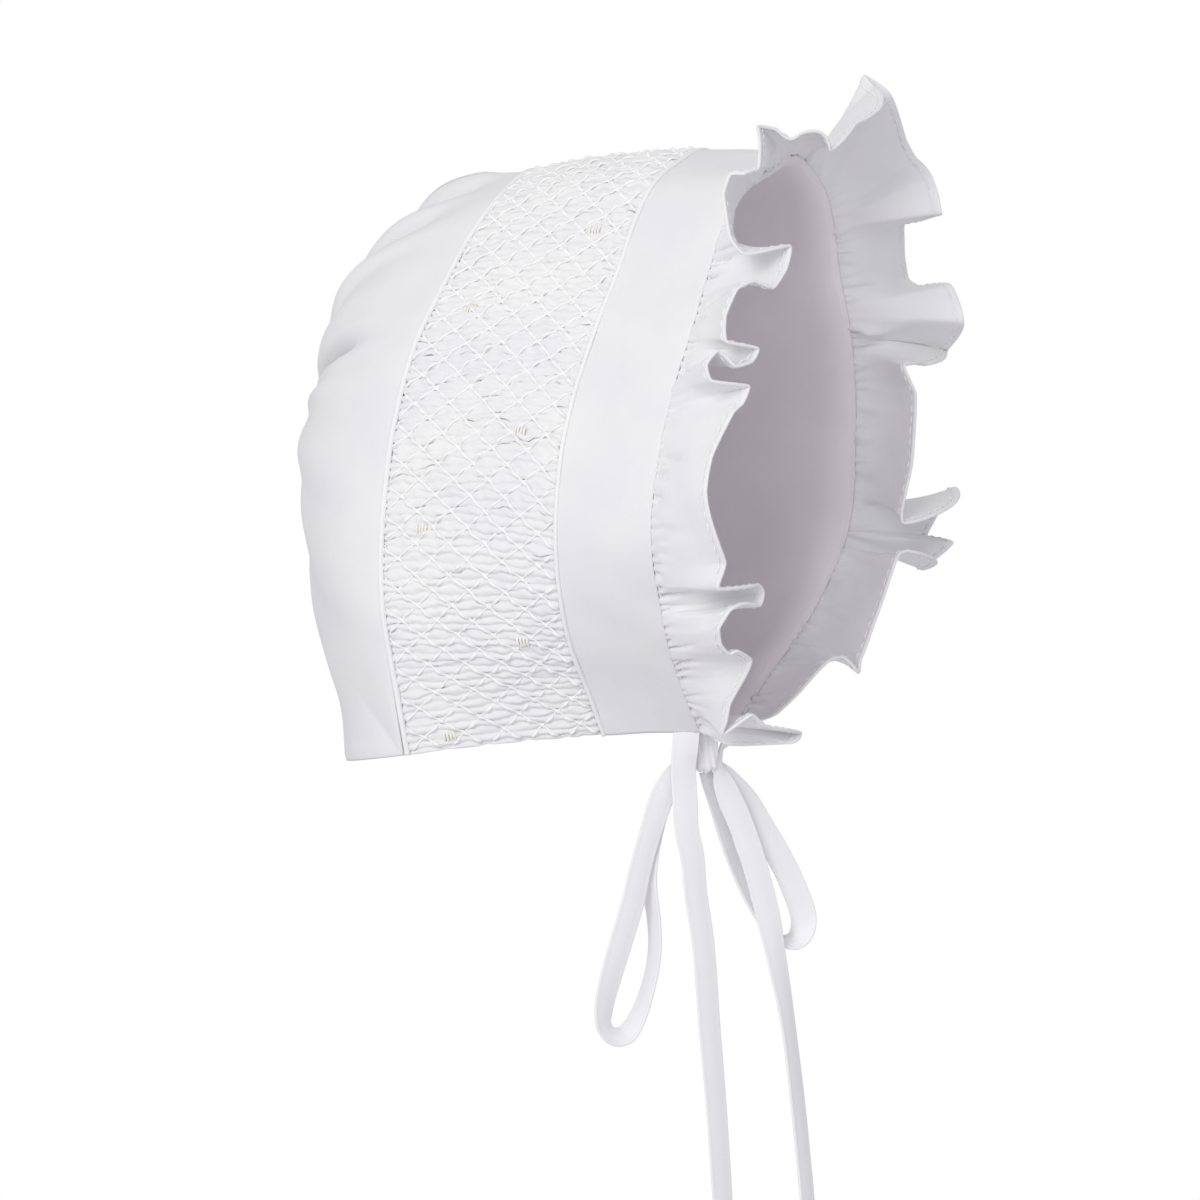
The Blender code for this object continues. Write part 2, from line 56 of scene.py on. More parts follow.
# The size of the cap
HALF_WIDTH = 0.0508
CROWN_TO_NECK = 0.138
NECK_SWEEP = 0.0206
BAND_DEPTH = 0.025
SMOCKING_DEPTH = 0.048
BACK_DEPTH = 0.0550
NAPE_DEPTH = 0.035
BAND_CROWN_FALL = -0.0012
BACK_CROWN_FALL = 0.0029
BAND_NECK_FALL = 0.0008
BACK_NECK_FALL = 0.0060
NAPE_FALL = 0.0050
WHOLE_DEPTH = BAND_DEPTH + SMOCKING_DEPTH

# The solids' cloth, cords and gaps
CLOTH = 0.0010
PIPING = 0.0017
LINING_EASE = 0.0009
RIBBON_WIDTH = 0.0064
KNOT = (0.0042, 0.0084, 0.0046)

# The ruffle and the folds of the back
RUFFLE_REACH = 0.026
RUFFLE_LEAN = 32.0
HEM_SLACK = 0.5
SWING_EASE = 0.8
SWING_LEAD = 0.5
SLIP_EASE = 1.5
PUCKER = 0.0036
PUCKER_START = 0.12
GATHER_RADIUS = 0.0035
GATHER_DROP = 0.45
BACK_FULLNESS = 1.75
NAPE_FULLNESS = 0.9
CENTRE_FULLNESS = 1.66

# The back's rings: their points over the crown and along the nape, the points on each side that a mean
# direction takes in, and how each ring is eased towards its running mean
CROWN_POINTS = 300
NAPE_POINTS = 90
FACING_REACH = 25
EASING_REACH = 24
EASING_SPREAD = 11.0
EASING_START = 0.25

# One fold of the ruffle stands up beside the crown before it curls forward: its place and spread as
# shares over the crown, its extra lean in degrees and how late it curls
CROWN_FOLD = {"share": 0.548, "spread": 0.024, "lean": 62.0, "lateness": 1.4}

# The smocking: half diamonds along the crown and across the panel, and pleats in half a diamond
HALF_DIAMONDS = 88
HALF_ROWS = 10
PLEATS_PER_HALF = 2
PLEAT_SAMPLES = 7
PLEAT_RISE = 0.00082
PLEAT_BASE = 0.00030
PINCH = 0.085
PINCH_DROP = 0.00045
SEAM_SLIT = 0.0007
THREAD_RISE = 0.00034
THREAD_SWAY = 0.00012
THREAD = 0.00088
THREAD_SAMPLES = 110

# The gathers at the ruffle's seam, its hem and its stitches
GATHERS = 120
HEM = 0.0022
HEM_HALF = 0.00040
RUFFLE_HALF = 0.00018
STITCH = 0.0019
STITCH_PITCH = 0.0029
STITCH_INSET = 0.0017
TURN_STEPS = 13

# The lining's step behind the seam and its creases
FACING_DEPTH = 0.0085
FACING_STEP = 0.0004
LINING_SLACK = 0.0015

# The arches from crown to neck, as shares of CROWN_TO_NECK, HALF_WIDTH and NECK_SWEEP
ARCH_COLUMNS = ("down", "seam_out", "seam_back", "band_out", "band_back", "back_out", "back_back")
ARCH_ROWS = (
    (0.000, 0.00, 0.00, 0.00, 0.00, 0.00, 0.00),
    (0.025, 0.21, 0.06, 0.22, 0.05, 0.17, 0.03),
    (0.060, 0.40, 0.13, 0.39, 0.11, 0.32, 0.07),
    (0.120, 0.54, 0.20, 0.51, 0.18, 0.49, 0.15),
    (0.200, 0.64, 0.25, 0.62, 0.24, 0.67, 0.23),
    (0.300, 0.78, 0.28, 0.77, 0.33, 0.84, 0.36),
    (0.400, 0.90, 0.36, 0.90, 0.41, 0.93, 0.45),
    (0.500, 0.97, 0.44, 0.98, 0.48, 0.99, 0.50),
    (0.600, 1.00, 0.50, 1.01, 0.52, 1.02, 0.53),
    (0.680, 0.96, 0.55, 0.98, 0.57, 1.03, 0.54),
    (0.760, 0.83, 0.64, 0.90, 0.63, 1.02, 0.53),
    (0.840, 0.66, 0.76, 0.77, 0.69, 0.98, 0.49),
    (0.920, 0.42, 0.91, 0.58, 0.74, 0.94, 0.45),
    (1.000, 0.19, 1.00, 0.42, 0.76, 0.90, 0.41),
)

# The gathers of the back: turn from straight up and half width in degrees, the middle and the reach along
# the way from the rim to the centre, and the rise as a share of PUCKER
PUCKER_COLUMNS = ("turn", "spread", "middle", "reach", "rise")
PUCKER_ROWS = (
    (1.0, 3.2, 0.24, 0.16, 1.3),
    (5.5, 3.2, 0.38, 0.22, -0.9),
    (10.0, 3.0, 0.42, 0.22, 0.8),
    (14.5, 4.5, 0.52, 0.22, -2.4),
    (21.0, 5.0, 0.52, 0.26, 0.8),
    (40.0, 12.0, 0.55, 0.30, 0.3),
    (57.0, 8.0, 0.62, 0.25, -4.2),
    (68.0, 9.0, 0.60, 0.30, -0.6),
    (84.0, 12.0, 0.60, 0.40, -0.3),
    (104.0, 14.0, 0.60, 0.40, 0.3),
    (130.0, 14.0, 0.60, 0.40, 0.2),
    (152.0, 12.0, 0.60, 0.40, 0.3),
    (174.0, 10.0, 0.60, 0.40, 0.4),
)

# The turns of the ruffle's hem, from the left neck corner over the crown to the right one: where the fold
# starts on the seam as a share of the way down, its swing outwards in degrees, its slip towards that
# side's neck corner and its reach, both as shares of RUFFLE_REACH
LEFT_HEM_ROWS = (
    (1.000, 20, 0.08, 0.20),
    (0.996, 24, 0.22, 0.45),
    (0.991, 3, 0.20, 1.00),
    (0.985, -10, 0.12, 1.03),
    (0.979, 17, 0.02, 1.00),
    (0.973, 25, -0.12, 1.00),
    (0.964, 46, 0.22, 1.00),
    (0.950, 42, 0.17, 1.00),
    (0.925, 34, 0.10, 0.95),
    (0.902, 18, -0.17, 1.00),
    (0.872, 12, -0.12, 1.00),
    (0.860, 20, -0.16, 1.00),
    (0.850, 26, -0.04, 1.00),
    (0.838, 30, -0.08, 1.00),
    (0.820, 29, -0.16, 1.00),
    (0.795, 20, -0.19, 1.00),
    (0.787, 9, -0.20, 1.00),
    (0.781, -5, -0.12, 1.02),
    (0.772, -13, -0.20, 1.02),
    (0.761, -10, -0.22, 1.00),
    (0.734, 25, -0.03, 1.00),
    (0.694, 19, -0.05, 1.00),
    (0.620, 28, -0.05, 1.00),
    (0.580, 32, -0.05, 1.00),
    (0.530, 31, -0.04, 1.00),
    (0.468, 23, -0.08, 1.00),
    (0.447, 18, -0.06, 1.00),
    (0.430, 17, -0.12, 1.00),
    (0.405, 39, 0.10, 1.00),
    (0.392, 44, 0.06, 1.00),
    (0.380, 40, 0.00, 1.00),
    (0.368, 28, 0.16, 1.00),
    (0.356, 19, 0.13, 1.00),
    (0.343, 18, 0.08, 1.00),
    (0.322, 37, 0.28, 1.00),
    (0.300, 42, 0.19, 1.00),
    (0.272, 40, 0.10, 1.00),
    (0.250, 32, 0.10, 1.00),
    (0.233, 20, 0.17, 1.00),
    (0.213, 15, 0.05, 1.00),
    (0.190, 17, -0.04, 1.00),
    (0.153, 41, 0.41, 1.00),
    (0.135, 50, 0.46, 1.00),
    (0.115, 56, 0.42, 1.00),
    (0.090, 57, 0.56, 0.97),
    (0.065, 54, 0.72, 0.95),
    (0.050, 41, 0.98, 0.95),
    (0.036, 32, 1.04, 0.88),
    (0.020, 54, 0.80, 0.85),
    (0.010, 46, 0.78, 0.79),
)
CROWN_HEM_ROW = (0.000, 14, 1.00, 0.62)
RIGHT_HEM_ROWS = (
    (0.010, -24, -0.95, 0.74),
    (0.020, 5, -0.78, 0.76),
    (0.030, 28, -0.52, 0.94),
    (0.041, 60, -0.20, 1.00),
    (0.050, 72, -0.36, 1.05),
    (0.063, 61, -0.37, 1.05),
    (0.082, 60, -0.06, 1.04),
    (0.100, 54, -0.07, 1.04),
    (0.110, 34, -0.10, 1.05),
    (0.125, 20, 0.03, 1.08),
    (0.138, 54, 0.19, 1.03),
    (0.150, 71, 0.17, 1.00),
    (0.168, 72, 0.20, 0.98),
    (0.228, 75, 0.38, 0.98),
    (0.243, 66, 0.38, 1.00),
    (0.268, 40, 0.09, 1.09),
    (0.292, 26, 0.22, 1.13),
    (0.325, 52, 0.50, 1.05),
    (0.348, 6, 0.14, 0.78),
    (0.362, -32, -0.22, 1.00),
    (0.410, -28, -0.13, 1.05),
    (0.475, -28, -0.06, 1.03),
    (0.540, -29, -0.08, 1.03),
    (0.605, -30, 0.23, 1.00),
    (0.625, 46, -0.18, 1.09),
    (0.645, 58, 0.08, 1.00),
    (0.662, 60, 0.12, 1.00),
    (0.678, 40, 0.08, 1.13),
    (0.697, 54, 0.27, 1.02),
    (0.712, -20, -0.09, 1.00),
    (0.730, -28, -0.12, 1.00),
    (0.800, -22, 0.16, 1.00),
    (0.845, -14, 0.30, 1.00),
    (0.872, -5, 0.30, 1.00),
    (0.896, -26, -0.14, 0.97),
    (0.915, -33, -0.24, 0.93),
    (0.945, -34, -0.08, 0.82),
    (0.975, -28, 0.02, 0.55),
    (1.000, 0, 0.00, 0.15),
)

# The bow hangs below the chin in a plane turned about the upright
BOW_PLACE = (0.0, -0.0232, -0.1413)
BOW_TURN = math.radians(-40.0)
BOW_ACROSS = np.array([math.cos(BOW_TURN), math.sin(BOW_TURN), 0.0])
BOW_FRONT = np.array([math.sin(BOW_TURN), -math.cos(BOW_TURN), 0.0])
UPRIGHT = np.array([0.0, 0.0, 1.0])
KNOT_PLACE = (0.2, 0.9, 3.0)

# The ribbons' routes in millimetres from the bow's middle: to the right in the bow's plane, down and
# towards its front, then the twist in degrees and the width as a share of RIBBON_WIDTH
LEFT_TIE = (
    (-7.2, -4.9, 9.6, -18, 1.0),
    (-7.2, -0.5, 8.6, -12, 1.0),
    (-7.1, 4.6, 7.2, 0, 1.0),
    (-6.3, 12.5, 6.2, 0, 1.0),
    (-5.6, 20.2, 5.6, 4, 1.0),
    (-3.9, 26.9, 5.2, 8, 1.0),
    (-3.0, 35.8, 5.0, 12, 1.0),
    (-1.0, 48.5, 5.0, 14, 1.0),
    (0.6, 68.4, 5.0, 16, 1.0),
    (2.5, 89.3, 5.0, 20, 1.0),
    (3.9, 108.5, 5.0, 22, 1.0),
    (4.3, 114.5, 5.0, 22, 1.0),
)
RIGHT_TIE = (
    (10.4, -2.6, -5.6, 20, 0.9),
    (7.8, -1.2, -3.2, 35, 0.75),
    (5.6, 0.4, -0.4, 55, 0.55),
    (4.4, 2.8, 1.4, 55, 0.5),
    (4.2, 5.4, 2.2, 30, 0.6),
    (5.0, 8.6, 2.6, 8, 0.85),
    (7.0, 13.2, 2.6, 0, 1.0),
    (10.0, 19.6, 2.4, 0, 1.0),
    (13.4, 28.8, 2.2, 0, 1.0),
    (17.2, 42.5, 2.2, 5, 1.0),
    (19.4, 52.8, 2.2, 20, 0.95),
    (22.4, 68.4, 2.2, 38, 1.0),
    (25.2, 89.3, 2.2, 38, 1.0),
    (27.3, 108.5, 2.2, 38, 1.0),
    (27.9, 114.5, 2.2, 38, 1.0),
)
LEFT_LOOP = (
    (-2.2, 2.0, 3.8, 0, 0.40),
    (-5.5, 3.6, 4.1, 0, 0.55),
    (-9.0, 6.9, 4.1, 0, 0.80),
    (-12.0, 13.0, 4.0, 5, 1.00),
    (-14.6, 20.9, 3.8, 10, 0.95),
    (-16.9, 28.8, 3.6, 10, 0.95),
    (-18.8, 37.2, 3.3, 10, 1.00),
    (-21.5, 46.1, 3.0, 10, 1.00),
    (-24.0, 54.5, 2.6, 15, 1.00),
    (-25.6, 61.7, 2.0, 25, 1.00),
    (-25.4, 67.2, 1.2, 38, 1.00),
    (-22.6, 70.2, 0.4, 50, 1.00),
    (-18.9, 69.8, -0.2, 62, 1.00),
    (-15.7, 65.3, -0.5, 74, 1.00),
    (-13.2, 58.6, -0.6, 82, 1.00),
    (-11.6, 50.9, -0.6, 84, 1.00),
    (-11.7, 42.5, -0.6, 82, 1.00),
    (-13.0, 34.1, -0.6, 76, 1.00),
    (-13.3, 26.9, -0.5, 62, 1.00),
    (-11.8, 18.5, -0.2, 45, 0.90),
    (-8.8, 10.6, 0.2, 20, 0.70),
    (-5.2, 5.6, 0.8, 5, 0.50),
    (-2.4, 3.6, 1.6, 0, 0.40),
)
RIGHT_LOOP = (
    (0.9, 5.9, 0.6, 0, 0.45),
    (2.3, 8.6, -0.3, 15, 0.65),
    (4.5, 13.4, -1.4, 35, 0.90),
    (8.1, 24.0, -2.6, 45, 1.00),
    (12.0, 32.9, -3.6, 48, 1.00),
    (15.1, 39.4, -4.0, 55, 1.00),
    (19.0, 46.0, -4.0, 66, 1.00),
    (23.0, 49.4, -3.6, 68, 1.00),
    (26.6, 49.4, -3.0, 60, 1.00),
    (28.4, 46.4, -2.4, 40, 1.00),
    (28.0, 42.0, -1.9, 20, 1.00),
    (24.7, 34.1, -1.5, 8, 1.00),
    (21.1, 27.4, -1.3, 4, 1.00),
    (17.0, 20.9, -1.1, 2, 1.00),
    (12.6, 13.9, -0.9, 0, 0.95),
    (8.0, 8.0, -0.7, 0, 0.65),
    (4.6, 4.9, -0.5, 0, 0.42),
)

# Satin-stitch motifs on the smocking, as a share over the crown and a share of the panel from its front
MOTIFS = (
    (0.010, 0.78),
    (0.087, 0.25),
    (0.168, 0.76),
    (0.240, 0.25),
    (0.335, 0.76),
    (0.398, 0.22),
)

# Soft dents and swells of the front band: share, depth, half length and half depth in millimetres, height
BAND_SWELLS = (
    (0.085, 14.0, 16.0, 8.0, -0.9),
    (0.150, 9.0, 20.0, 9.0, 0.5),
    (0.255, 15.0, 18.0, 9.0, -0.4),
    (0.330, 8.0, 14.0, 8.0, 0.5),
    (0.430, 14.0, 16.0, 9.0, -0.4),
    (0.560, 10.0, 16.0, 9.0, 0.4),
    (0.700, 12.0, 22.0, 9.0, -0.5),
    (0.860, 13.0, 20.0, 9.0, 0.5),
)


def add_camera():
    """A camera on the photograph's side of the bonnet, aimed at CAMERA_TARGET."""
    data = bpy.data.cameras.new("camera")
    data.sensor_width = SENSOR_MM
    data.lens = SENSOR_MM * CAMERA_DISTANCE / SEEN_ACROSS
    data.clip_start = 0.05
    data.clip_end = 20.0
    camera = bpy.data.objects.new("camera", data)
    flat = math.cos(CAMERA_ELEVATION)
    back = Vector(
        (math.sin(CAMERA_AZIMUTH) * flat, -math.cos(CAMERA_AZIMUTH) * flat, math.sin(CAMERA_ELEVATION))
    )
    camera.location = Vector(CAMERA_TARGET) + back * CAMERA_DISTANCE
    camera.rotation_mode = "QUATERNION"
    camera.rotation_quaternion = (-back).to_track_quat("-Z", "Y")
    bpy.context.scene.collection.objects.link(camera)
    bpy.context.scene.camera = camera


add_camera()


def columns(names, rows):
    """The rows of a table as one array for each named column."""
    return dict(zip(names, np.array(rows, float).T))


def spline(points, samples, slack=1.0):
    """A cardinal curve through the points, with the given number of samples in each stretch. It passes each
    point along the line between its neighbours, and turns more sharply with less slack."""
    points = np.asarray(points, float)
    padded = np.vstack([2 * points[0] - points[1], points, 2 * points[-1] - points[-2]])
    a, b, c, d = padded[:-3, None], padded[1:-2, None], padded[2:-1, None], padded[3:, None]
    t = np.linspace(0.0, 1.0, samples, endpoint=False)[None, :, None]
    leaving = slack * (c - a) / 2
    arriving = slack * (d - b) / 2
    curve = (
        (2 * t**3 - 3 * t**2 + 1) * b
        + (t**3 - 2 * t**2 + t) * leaving
        + (3 * t**2 - 2 * t**3) * c
        + (t**3 - t**2) * arriving
    )
    return np.vstack([curve.reshape(-1, points.shape[1]), points[-1]])


def lengths_along(curve):
    """The distance of each point of a curve from its start."""
    steps = np.linalg.norm(np.diff(curve, axis=0), axis=1)
    return np.concatenate([[0.0], np.cumsum(steps)])


def at_shares(curve, shares):
    """The points of a curve at the given shares of its length."""
    along = lengths_along(curve)
    return np.stack([np.interp(shares * along[-1], along, axis) for axis in curve.T], axis=-1)


def unit(vectors):
    """The vectors at length one."""
    return vectors / np.maximum(np.linalg.norm(vectors, axis=-1, keepdims=True), 1e-12)


def ripple(x, y, seed):
    """A smooth uneven field of about -1 to 1: the mean of four sines with unlike lengths and turns."""
    total = 0.0
    for k in range(4):
        turn = 0.9 * seed + 1.7 * k
        size = 1.0 + 0.43 * k
        total = total + np.sin(size * (x * math.cos(turn) + y * math.sin(turn)) + 2.1 * seed + 1.3 * k)
    return total / 2.6


def arch(name, start, crown_fall, neck_fall):
    """One arch of the cap from the left neck corner over the crown to the right one."""
    table = columns(ARCH_COLUMNS, ARCH_ROWS)
    out = HALF_WIDTH * table[name + "_out"]
    y = start + NECK_SWEEP * table[name + "_back"]
    z = CLOTH + LINING_EASE - crown_fall - table["down"] * (CROWN_TO_NECK + neck_fall - crown_fall)
    left = np.stack([-out, y, z], axis=1)[::-1]
    right = np.stack([out, y, z], axis=1)[1:]
    return spline(np.vstack([left, right]), 40)


SEAM_START = -(BAND_DEPTH + SMOCKING_DEPTH / 2)
ARCHES = (
    arch("seam", SEAM_START, 0.0, 0.0),
    arch("band", SEAM_START + BAND_DEPTH, BAND_CROWN_FALL, BAND_NECK_FALL),
    arch("back", SEAM_START + WHOLE_DEPTH, BACK_CROWN_FALL, BACK_NECK_FALL),
)


def cap_point(depth, share):
    """The cap's inner outline: at each share, the quadratic in depth through the three arches."""
    depth, share = np.broadcast_arrays(np.asarray(depth, float), np.asarray(share, float))
    seam, band, back = (at_shares(line, share) for line in ARCHES)
    a, b, c = 0.0, BAND_DEPTH, WHOLE_DEPTH
    d = depth[..., None]
    return (
        seam * (d - b) * (d - c) / ((a - b) * (a - c))
        + band * (d - a) * (d - c) / ((b - a) * (b - c))
        + back * (d - a) * (d - b) / ((c - a) * (c - b))
    )


def cap_normal(depth, share):
    """The outward direction of the cap: the cross of its slopes along the arch and in depth."""
    depth, share = np.broadcast_arrays(np.asarray(depth, float), np.asarray(share, float))
    side = 0.004
    reach = 0.001
    along = cap_point(depth, np.clip(share + side, 0, 1)) - cap_point(depth, np.clip(share - side, 0, 1))
    behind = cap_point(depth + reach, share) - cap_point(depth - reach, share)
    return unit(np.cross(along, behind))


def lifted(depth, share, height):
    """Points of the cap moved outwards by a height."""
    height = np.broadcast_to(height, np.broadcast_shapes(np.shape(depth), np.shape(share)))
    return cap_point(depth, share) + cap_normal(depth, share) * height[..., None]


def quads(index):
    """The four corners of each cell of a grid of vertex numbers."""
    return np.stack([index[:-1, :-1], index[:-1, 1:], index[1:, 1:], index[1:, :-1]], axis=-1).reshape(-1, 4)


def add_mesh(name, vertices, faces, finish, places=None):
    """A mesh object from arrays of vertices and faces, with a place on the cloth for each face's corners.

    The faces are a list of arrays, each with three or four corners a face."""
    flat = [face for group in faces for face in group.tolist()]
    mesh = bpy.data.meshes.new(name)
    mesh.from_pydata(vertices.tolist(), [], flat)
    if places is not None:
        layer = mesh.uv_layers.new(name="cloth")
        layer.data.foreach_set("uv", np.concatenate([p.reshape(-1) for p in places]).astype(np.float32))
    mesh.materials.append(finish)
    mesh.shade_smooth()
    made = bpy.data.objects.new(name, mesh)
    bpy.context.scene.collection.objects.link(made)
    return made


def sheet_normals(middle, ring):
    """The direction out of a grid of points: the cross of its slopes along its columns and rows."""
    if ring:
        along = np.roll(middle, -1, axis=1) - np.roll(middle, 1, axis=1)
    else:
        along = np.gradient(middle, axis=1)
    return unit(np.cross(along, np.gradient(middle, axis=0)))


def cloth_wall(name, middle, half, finish, ring=False, hub=False, flip=False):
    """A closed wall of cloth: a grid of points moved both ways along its normal by half its thickness.

    A ring's columns close on themselves, and a hub closes its last row with a fan. The place of a point
    on the cloth is its distance along its row and its column."""
    rows, across = middle.shape[:2]
    normals = sheet_normals(middle, ring) * (-1.0 if flip else 1.0)
    half = np.broadcast_to(half, (rows, across))[..., None]
    outer = middle + normals * half
    inner = middle - normals * half
    vertices = np.vstack([outer.reshape(-1, 3), inner.reshape(-1, 3)])
    out = np.arange(rows * across).reshape(rows, across)
    closed = np.concatenate([middle, middle[:, :1]], axis=1) if ring else middle
    if ring:
        out = np.hstack([out, out[:, :1]])
    inn = out + rows * across
    steps = np.linalg.norm(np.diff(closed, axis=1), axis=-1)
    along = np.concatenate([np.zeros((rows, 1)), np.cumsum(steps, axis=1)], axis=1)
    along = np.broadcast_to(along.mean(axis=0), along.shape)
    steps = np.linalg.norm(np.diff(closed, axis=0), axis=-1)
    down = np.concatenate([np.zeros((1, closed.shape[1])), np.cumsum(steps, axis=0)], axis=0)
    place = np.stack([along, down], axis=-1).reshape(-1, 2)
    cells = quads(np.arange(place.shape[0]).reshape(closed.shape[:2]))
    faces = [quads(out), quads(inn)[:, ::-1]]
    places = [place[cells], place[cells[:, ::-1]]]
    cell_row = np.arange(place.shape[0]).reshape(closed.shape[:2])
    rims = [(out[0], inn[0], cell_row[0]), (inn[-1], out[-1], cell_row[-1])]
    if not ring:
        rims += [(inn[:, 0], out[:, 0], cell_row[:, 0]), (out[:, -1], inn[:, -1], cell_row[:, -1])]
    if hub:
        rims.pop(1)
    for first, second, spot in rims:
        faces.append(np.stack([second[:-1], second[1:], first[1:], first[:-1]], axis=-1))
        places.append(place[np.stack([spot[:-1], spot[1:], spot[1:], spot[:-1]], axis=-1)])
    if hub:
        hubs = len(vertices) + np.arange(2)
        vertices = np.vstack([vertices, outer[-1].mean(axis=0), inner[-1].mean(axis=0)])
        spot = cell_row[-1]
        for ring_row, centre, order in ((out[-1], hubs[0], (0, 1, 2)), (inn[-1], hubs[1], (1, 0, 2))):
            fan = np.stack([ring_row[:-1], ring_row[1:], np.full(len(ring_row) - 1, centre)], axis=-1)
            faces.append(fan[:, list(order)])
            corners = place[np.stack([spot[:-1], spot[1:], spot[1:]], axis=-1)].copy()
            places.append(corners[:, list(order)])
    if flip:
        faces = [group[:, ::-1] for group in faces]
        places = [group[:, ::-1] for group in places]
    return add_mesh(name, vertices, faces, finish, places)


def tubes(name, paths, ups, radii, sides, finish):
    """Closed tubes along many paths of equal count: rings round each point, and a pole at each end.

    A ring's points turn from the side towards the given up direction."""
    count, points = paths.shape[:2]
    ahead = unit(np.gradient(paths, axis=1))
    side = unit(np.cross(ahead, ups))
    up = np.cross(side, ahead)
    turn = np.linspace(0.0, 2 * math.pi, sides, endpoint=False)
    radii = np.broadcast_to(radii, (count, points))[..., None, None]
    ring = (
        paths[:, :, None]
        + radii * np.cos(turn)[:, None] * side[:, :, None]
        + radii * np.sin(turn)[:, None] * up[:, :, None]
    )
    index = np.arange(count * points * sides).reshape(count, points, sides)
    index = np.concatenate([index, index[..., :1]], axis=-1)
    a, b, c, d = index[:, :-1, :-1], index[:, :-1, 1:], index[:, 1:, 1:], index[:, 1:, :-1]
    faces = [np.stack([a, b, c, d], axis=-1).reshape(-1, 4)]
    poles = count * points * sides + np.arange(2 * count).reshape(count, 2, 1)
    first = np.broadcast_to(poles[:, 0], (count, sides))
    last = np.broadcast_to(poles[:, 1], (count, sides))
    faces.append(np.stack([index[:, 0, 1:], index[:, 0, :-1], first], axis=-1).reshape(-1, 3))
    faces.append(np.stack([index[:, -1, :-1], index[:, -1, 1:], last], axis=-1).reshape(-1, 3))
    ends = np.stack([paths[:, 0], paths[:, -1]], axis=1).reshape(-1, 3)
    vertices = np.vstack([ring.reshape(-1, 3), ends])
    return add_mesh(name, vertices, faces, finish)


def finish_piece(piece, slot, *nodes):
    """The piece rides with the bonnet and stands for solids. Its slot is not used."""
    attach(piece, "root")
    if nodes:
        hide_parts(*nodes)
    return piece


def node(tree, kind, **values):
    """A shader node with its settings and its inputs' values."""
    made = tree.nodes.new(kind)
    for key, value in values.items():
        if key in made.inputs:
            made.inputs[key].default_value = value
        else:
            setattr(made, key, value)
    return made


def cotton(name, light, shade, roughness, weave_mm, weave, crease_mm, crease, sheen, glow=0.0):
    """A woven cloth. Its colour drifts between two tints with broad noise. Its bump is a plain weave, the
    greater of two waves across each other on the cloth's own places, over soft creases from noise."""
    made = bpy.data.materials.new(name)
    made.use_nodes = True
    tree = made.node_tree
    shader = tree.nodes["Principled BSDF"]
    shader.inputs["Roughness"].default_value = roughness
    shader.inputs["Sheen Weight"].default_value = sheen
    shader.inputs["Sheen Roughness"].default_value = 0.5
    shader.inputs["Specular IOR Level"].default_value = 0.25
    if glow:
        shader.inputs["Subsurface Weight"].default_value = glow
        shader.inputs["Subsurface Scale"].default_value = 0.0012
        shader.inputs["Subsurface Radius"].default_value = (1.0, 1.0, 1.0)
    link = tree.links.new
    place = node(tree, "ShaderNodeTexCoord")
    threads = node(tree, "ShaderNodeUVMap", uv_map="cloth")
    drift = node(tree, "ShaderNodeTexNoise", Scale=55.0, Detail=3.0)
    link(place.outputs["Object"], drift.inputs["Vector"])
    tint = node(tree, "ShaderNodeValToRGB")
    tint.color_ramp.elements[0].position = 0.35
    tint.color_ramp.elements[0].color = (*shade, 1.0)
    tint.color_ramp.elements[1].position = 0.65
    tint.color_ramp.elements[1].color = (*light, 1.0)
    link(drift.outputs["Fac"], tint.inputs["Fac"])
    link(tint.outputs["Color"], shader.inputs["Base Color"])
    turns = 1000.0 * math.pi / (10.0 * weave_mm)
    waves = []
    for direction in ("X", "Y"):
        wave = node(tree, "ShaderNodeTexWave", bands_direction=direction, Scale=turns, Distortion=1.2)
        link(threads.outputs["UV"], wave.inputs["Vector"])
        waves.append(wave)
    plain = node(tree, "ShaderNodeMath", operation="MAXIMUM")
    link(waves[0].outputs["Fac"], plain.inputs[0])
    link(waves[1].outputs["Fac"], plain.inputs[1])
    creases = node(tree, "ShaderNodeTexNoise", Scale=1000.0 / crease_mm, Detail=4.0, Roughness=0.55)
    link(place.outputs["Object"], creases.inputs["Vector"])
    fine = node(tree, "ShaderNodeBump", Distance=0.00004, Strength=weave)
    broad = node(tree, "ShaderNodeBump", Distance=0.0004, Strength=crease)
    link(plain.outputs["Value"], fine.inputs["Height"])
    link(creases.outputs["Fac"], broad.inputs["Height"])
    link(broad.outputs["Normal"], fine.inputs["Normal"])
    link(fine.outputs["Normal"], shader.inputs["Normal"])
    return made


def thread_finish(name, colour, roughness, sheen):
    """Twisted thread: a tint with a fine noise in its bump."""
    made = bpy.data.materials.new(name)
    made.use_nodes = True
    tree = made.node_tree
    shader = tree.nodes["Principled BSDF"]
    shader.inputs["Base Color"].default_value = (*colour, 1.0)
    shader.inputs["Roughness"].default_value = roughness
    shader.inputs["Sheen Weight"].default_value = sheen
    shader.inputs["Specular IOR Level"].default_value = 0.35
    place = node(tree, "ShaderNodeTexCoord")
    twist = node(tree, "ShaderNodeTexNoise", Scale=4500.0, Detail=2.0)
    bump = node(tree, "ShaderNodeBump", Distance=0.00006, Strength=0.5)
    tree.links.new(place.outputs["Object"], twist.inputs["Vector"])
    tree.links.new(twist.outputs["Fac"], bump.inputs["Height"])
    tree.links.new(bump.outputs["Normal"], shader.inputs["Normal"])
    return made


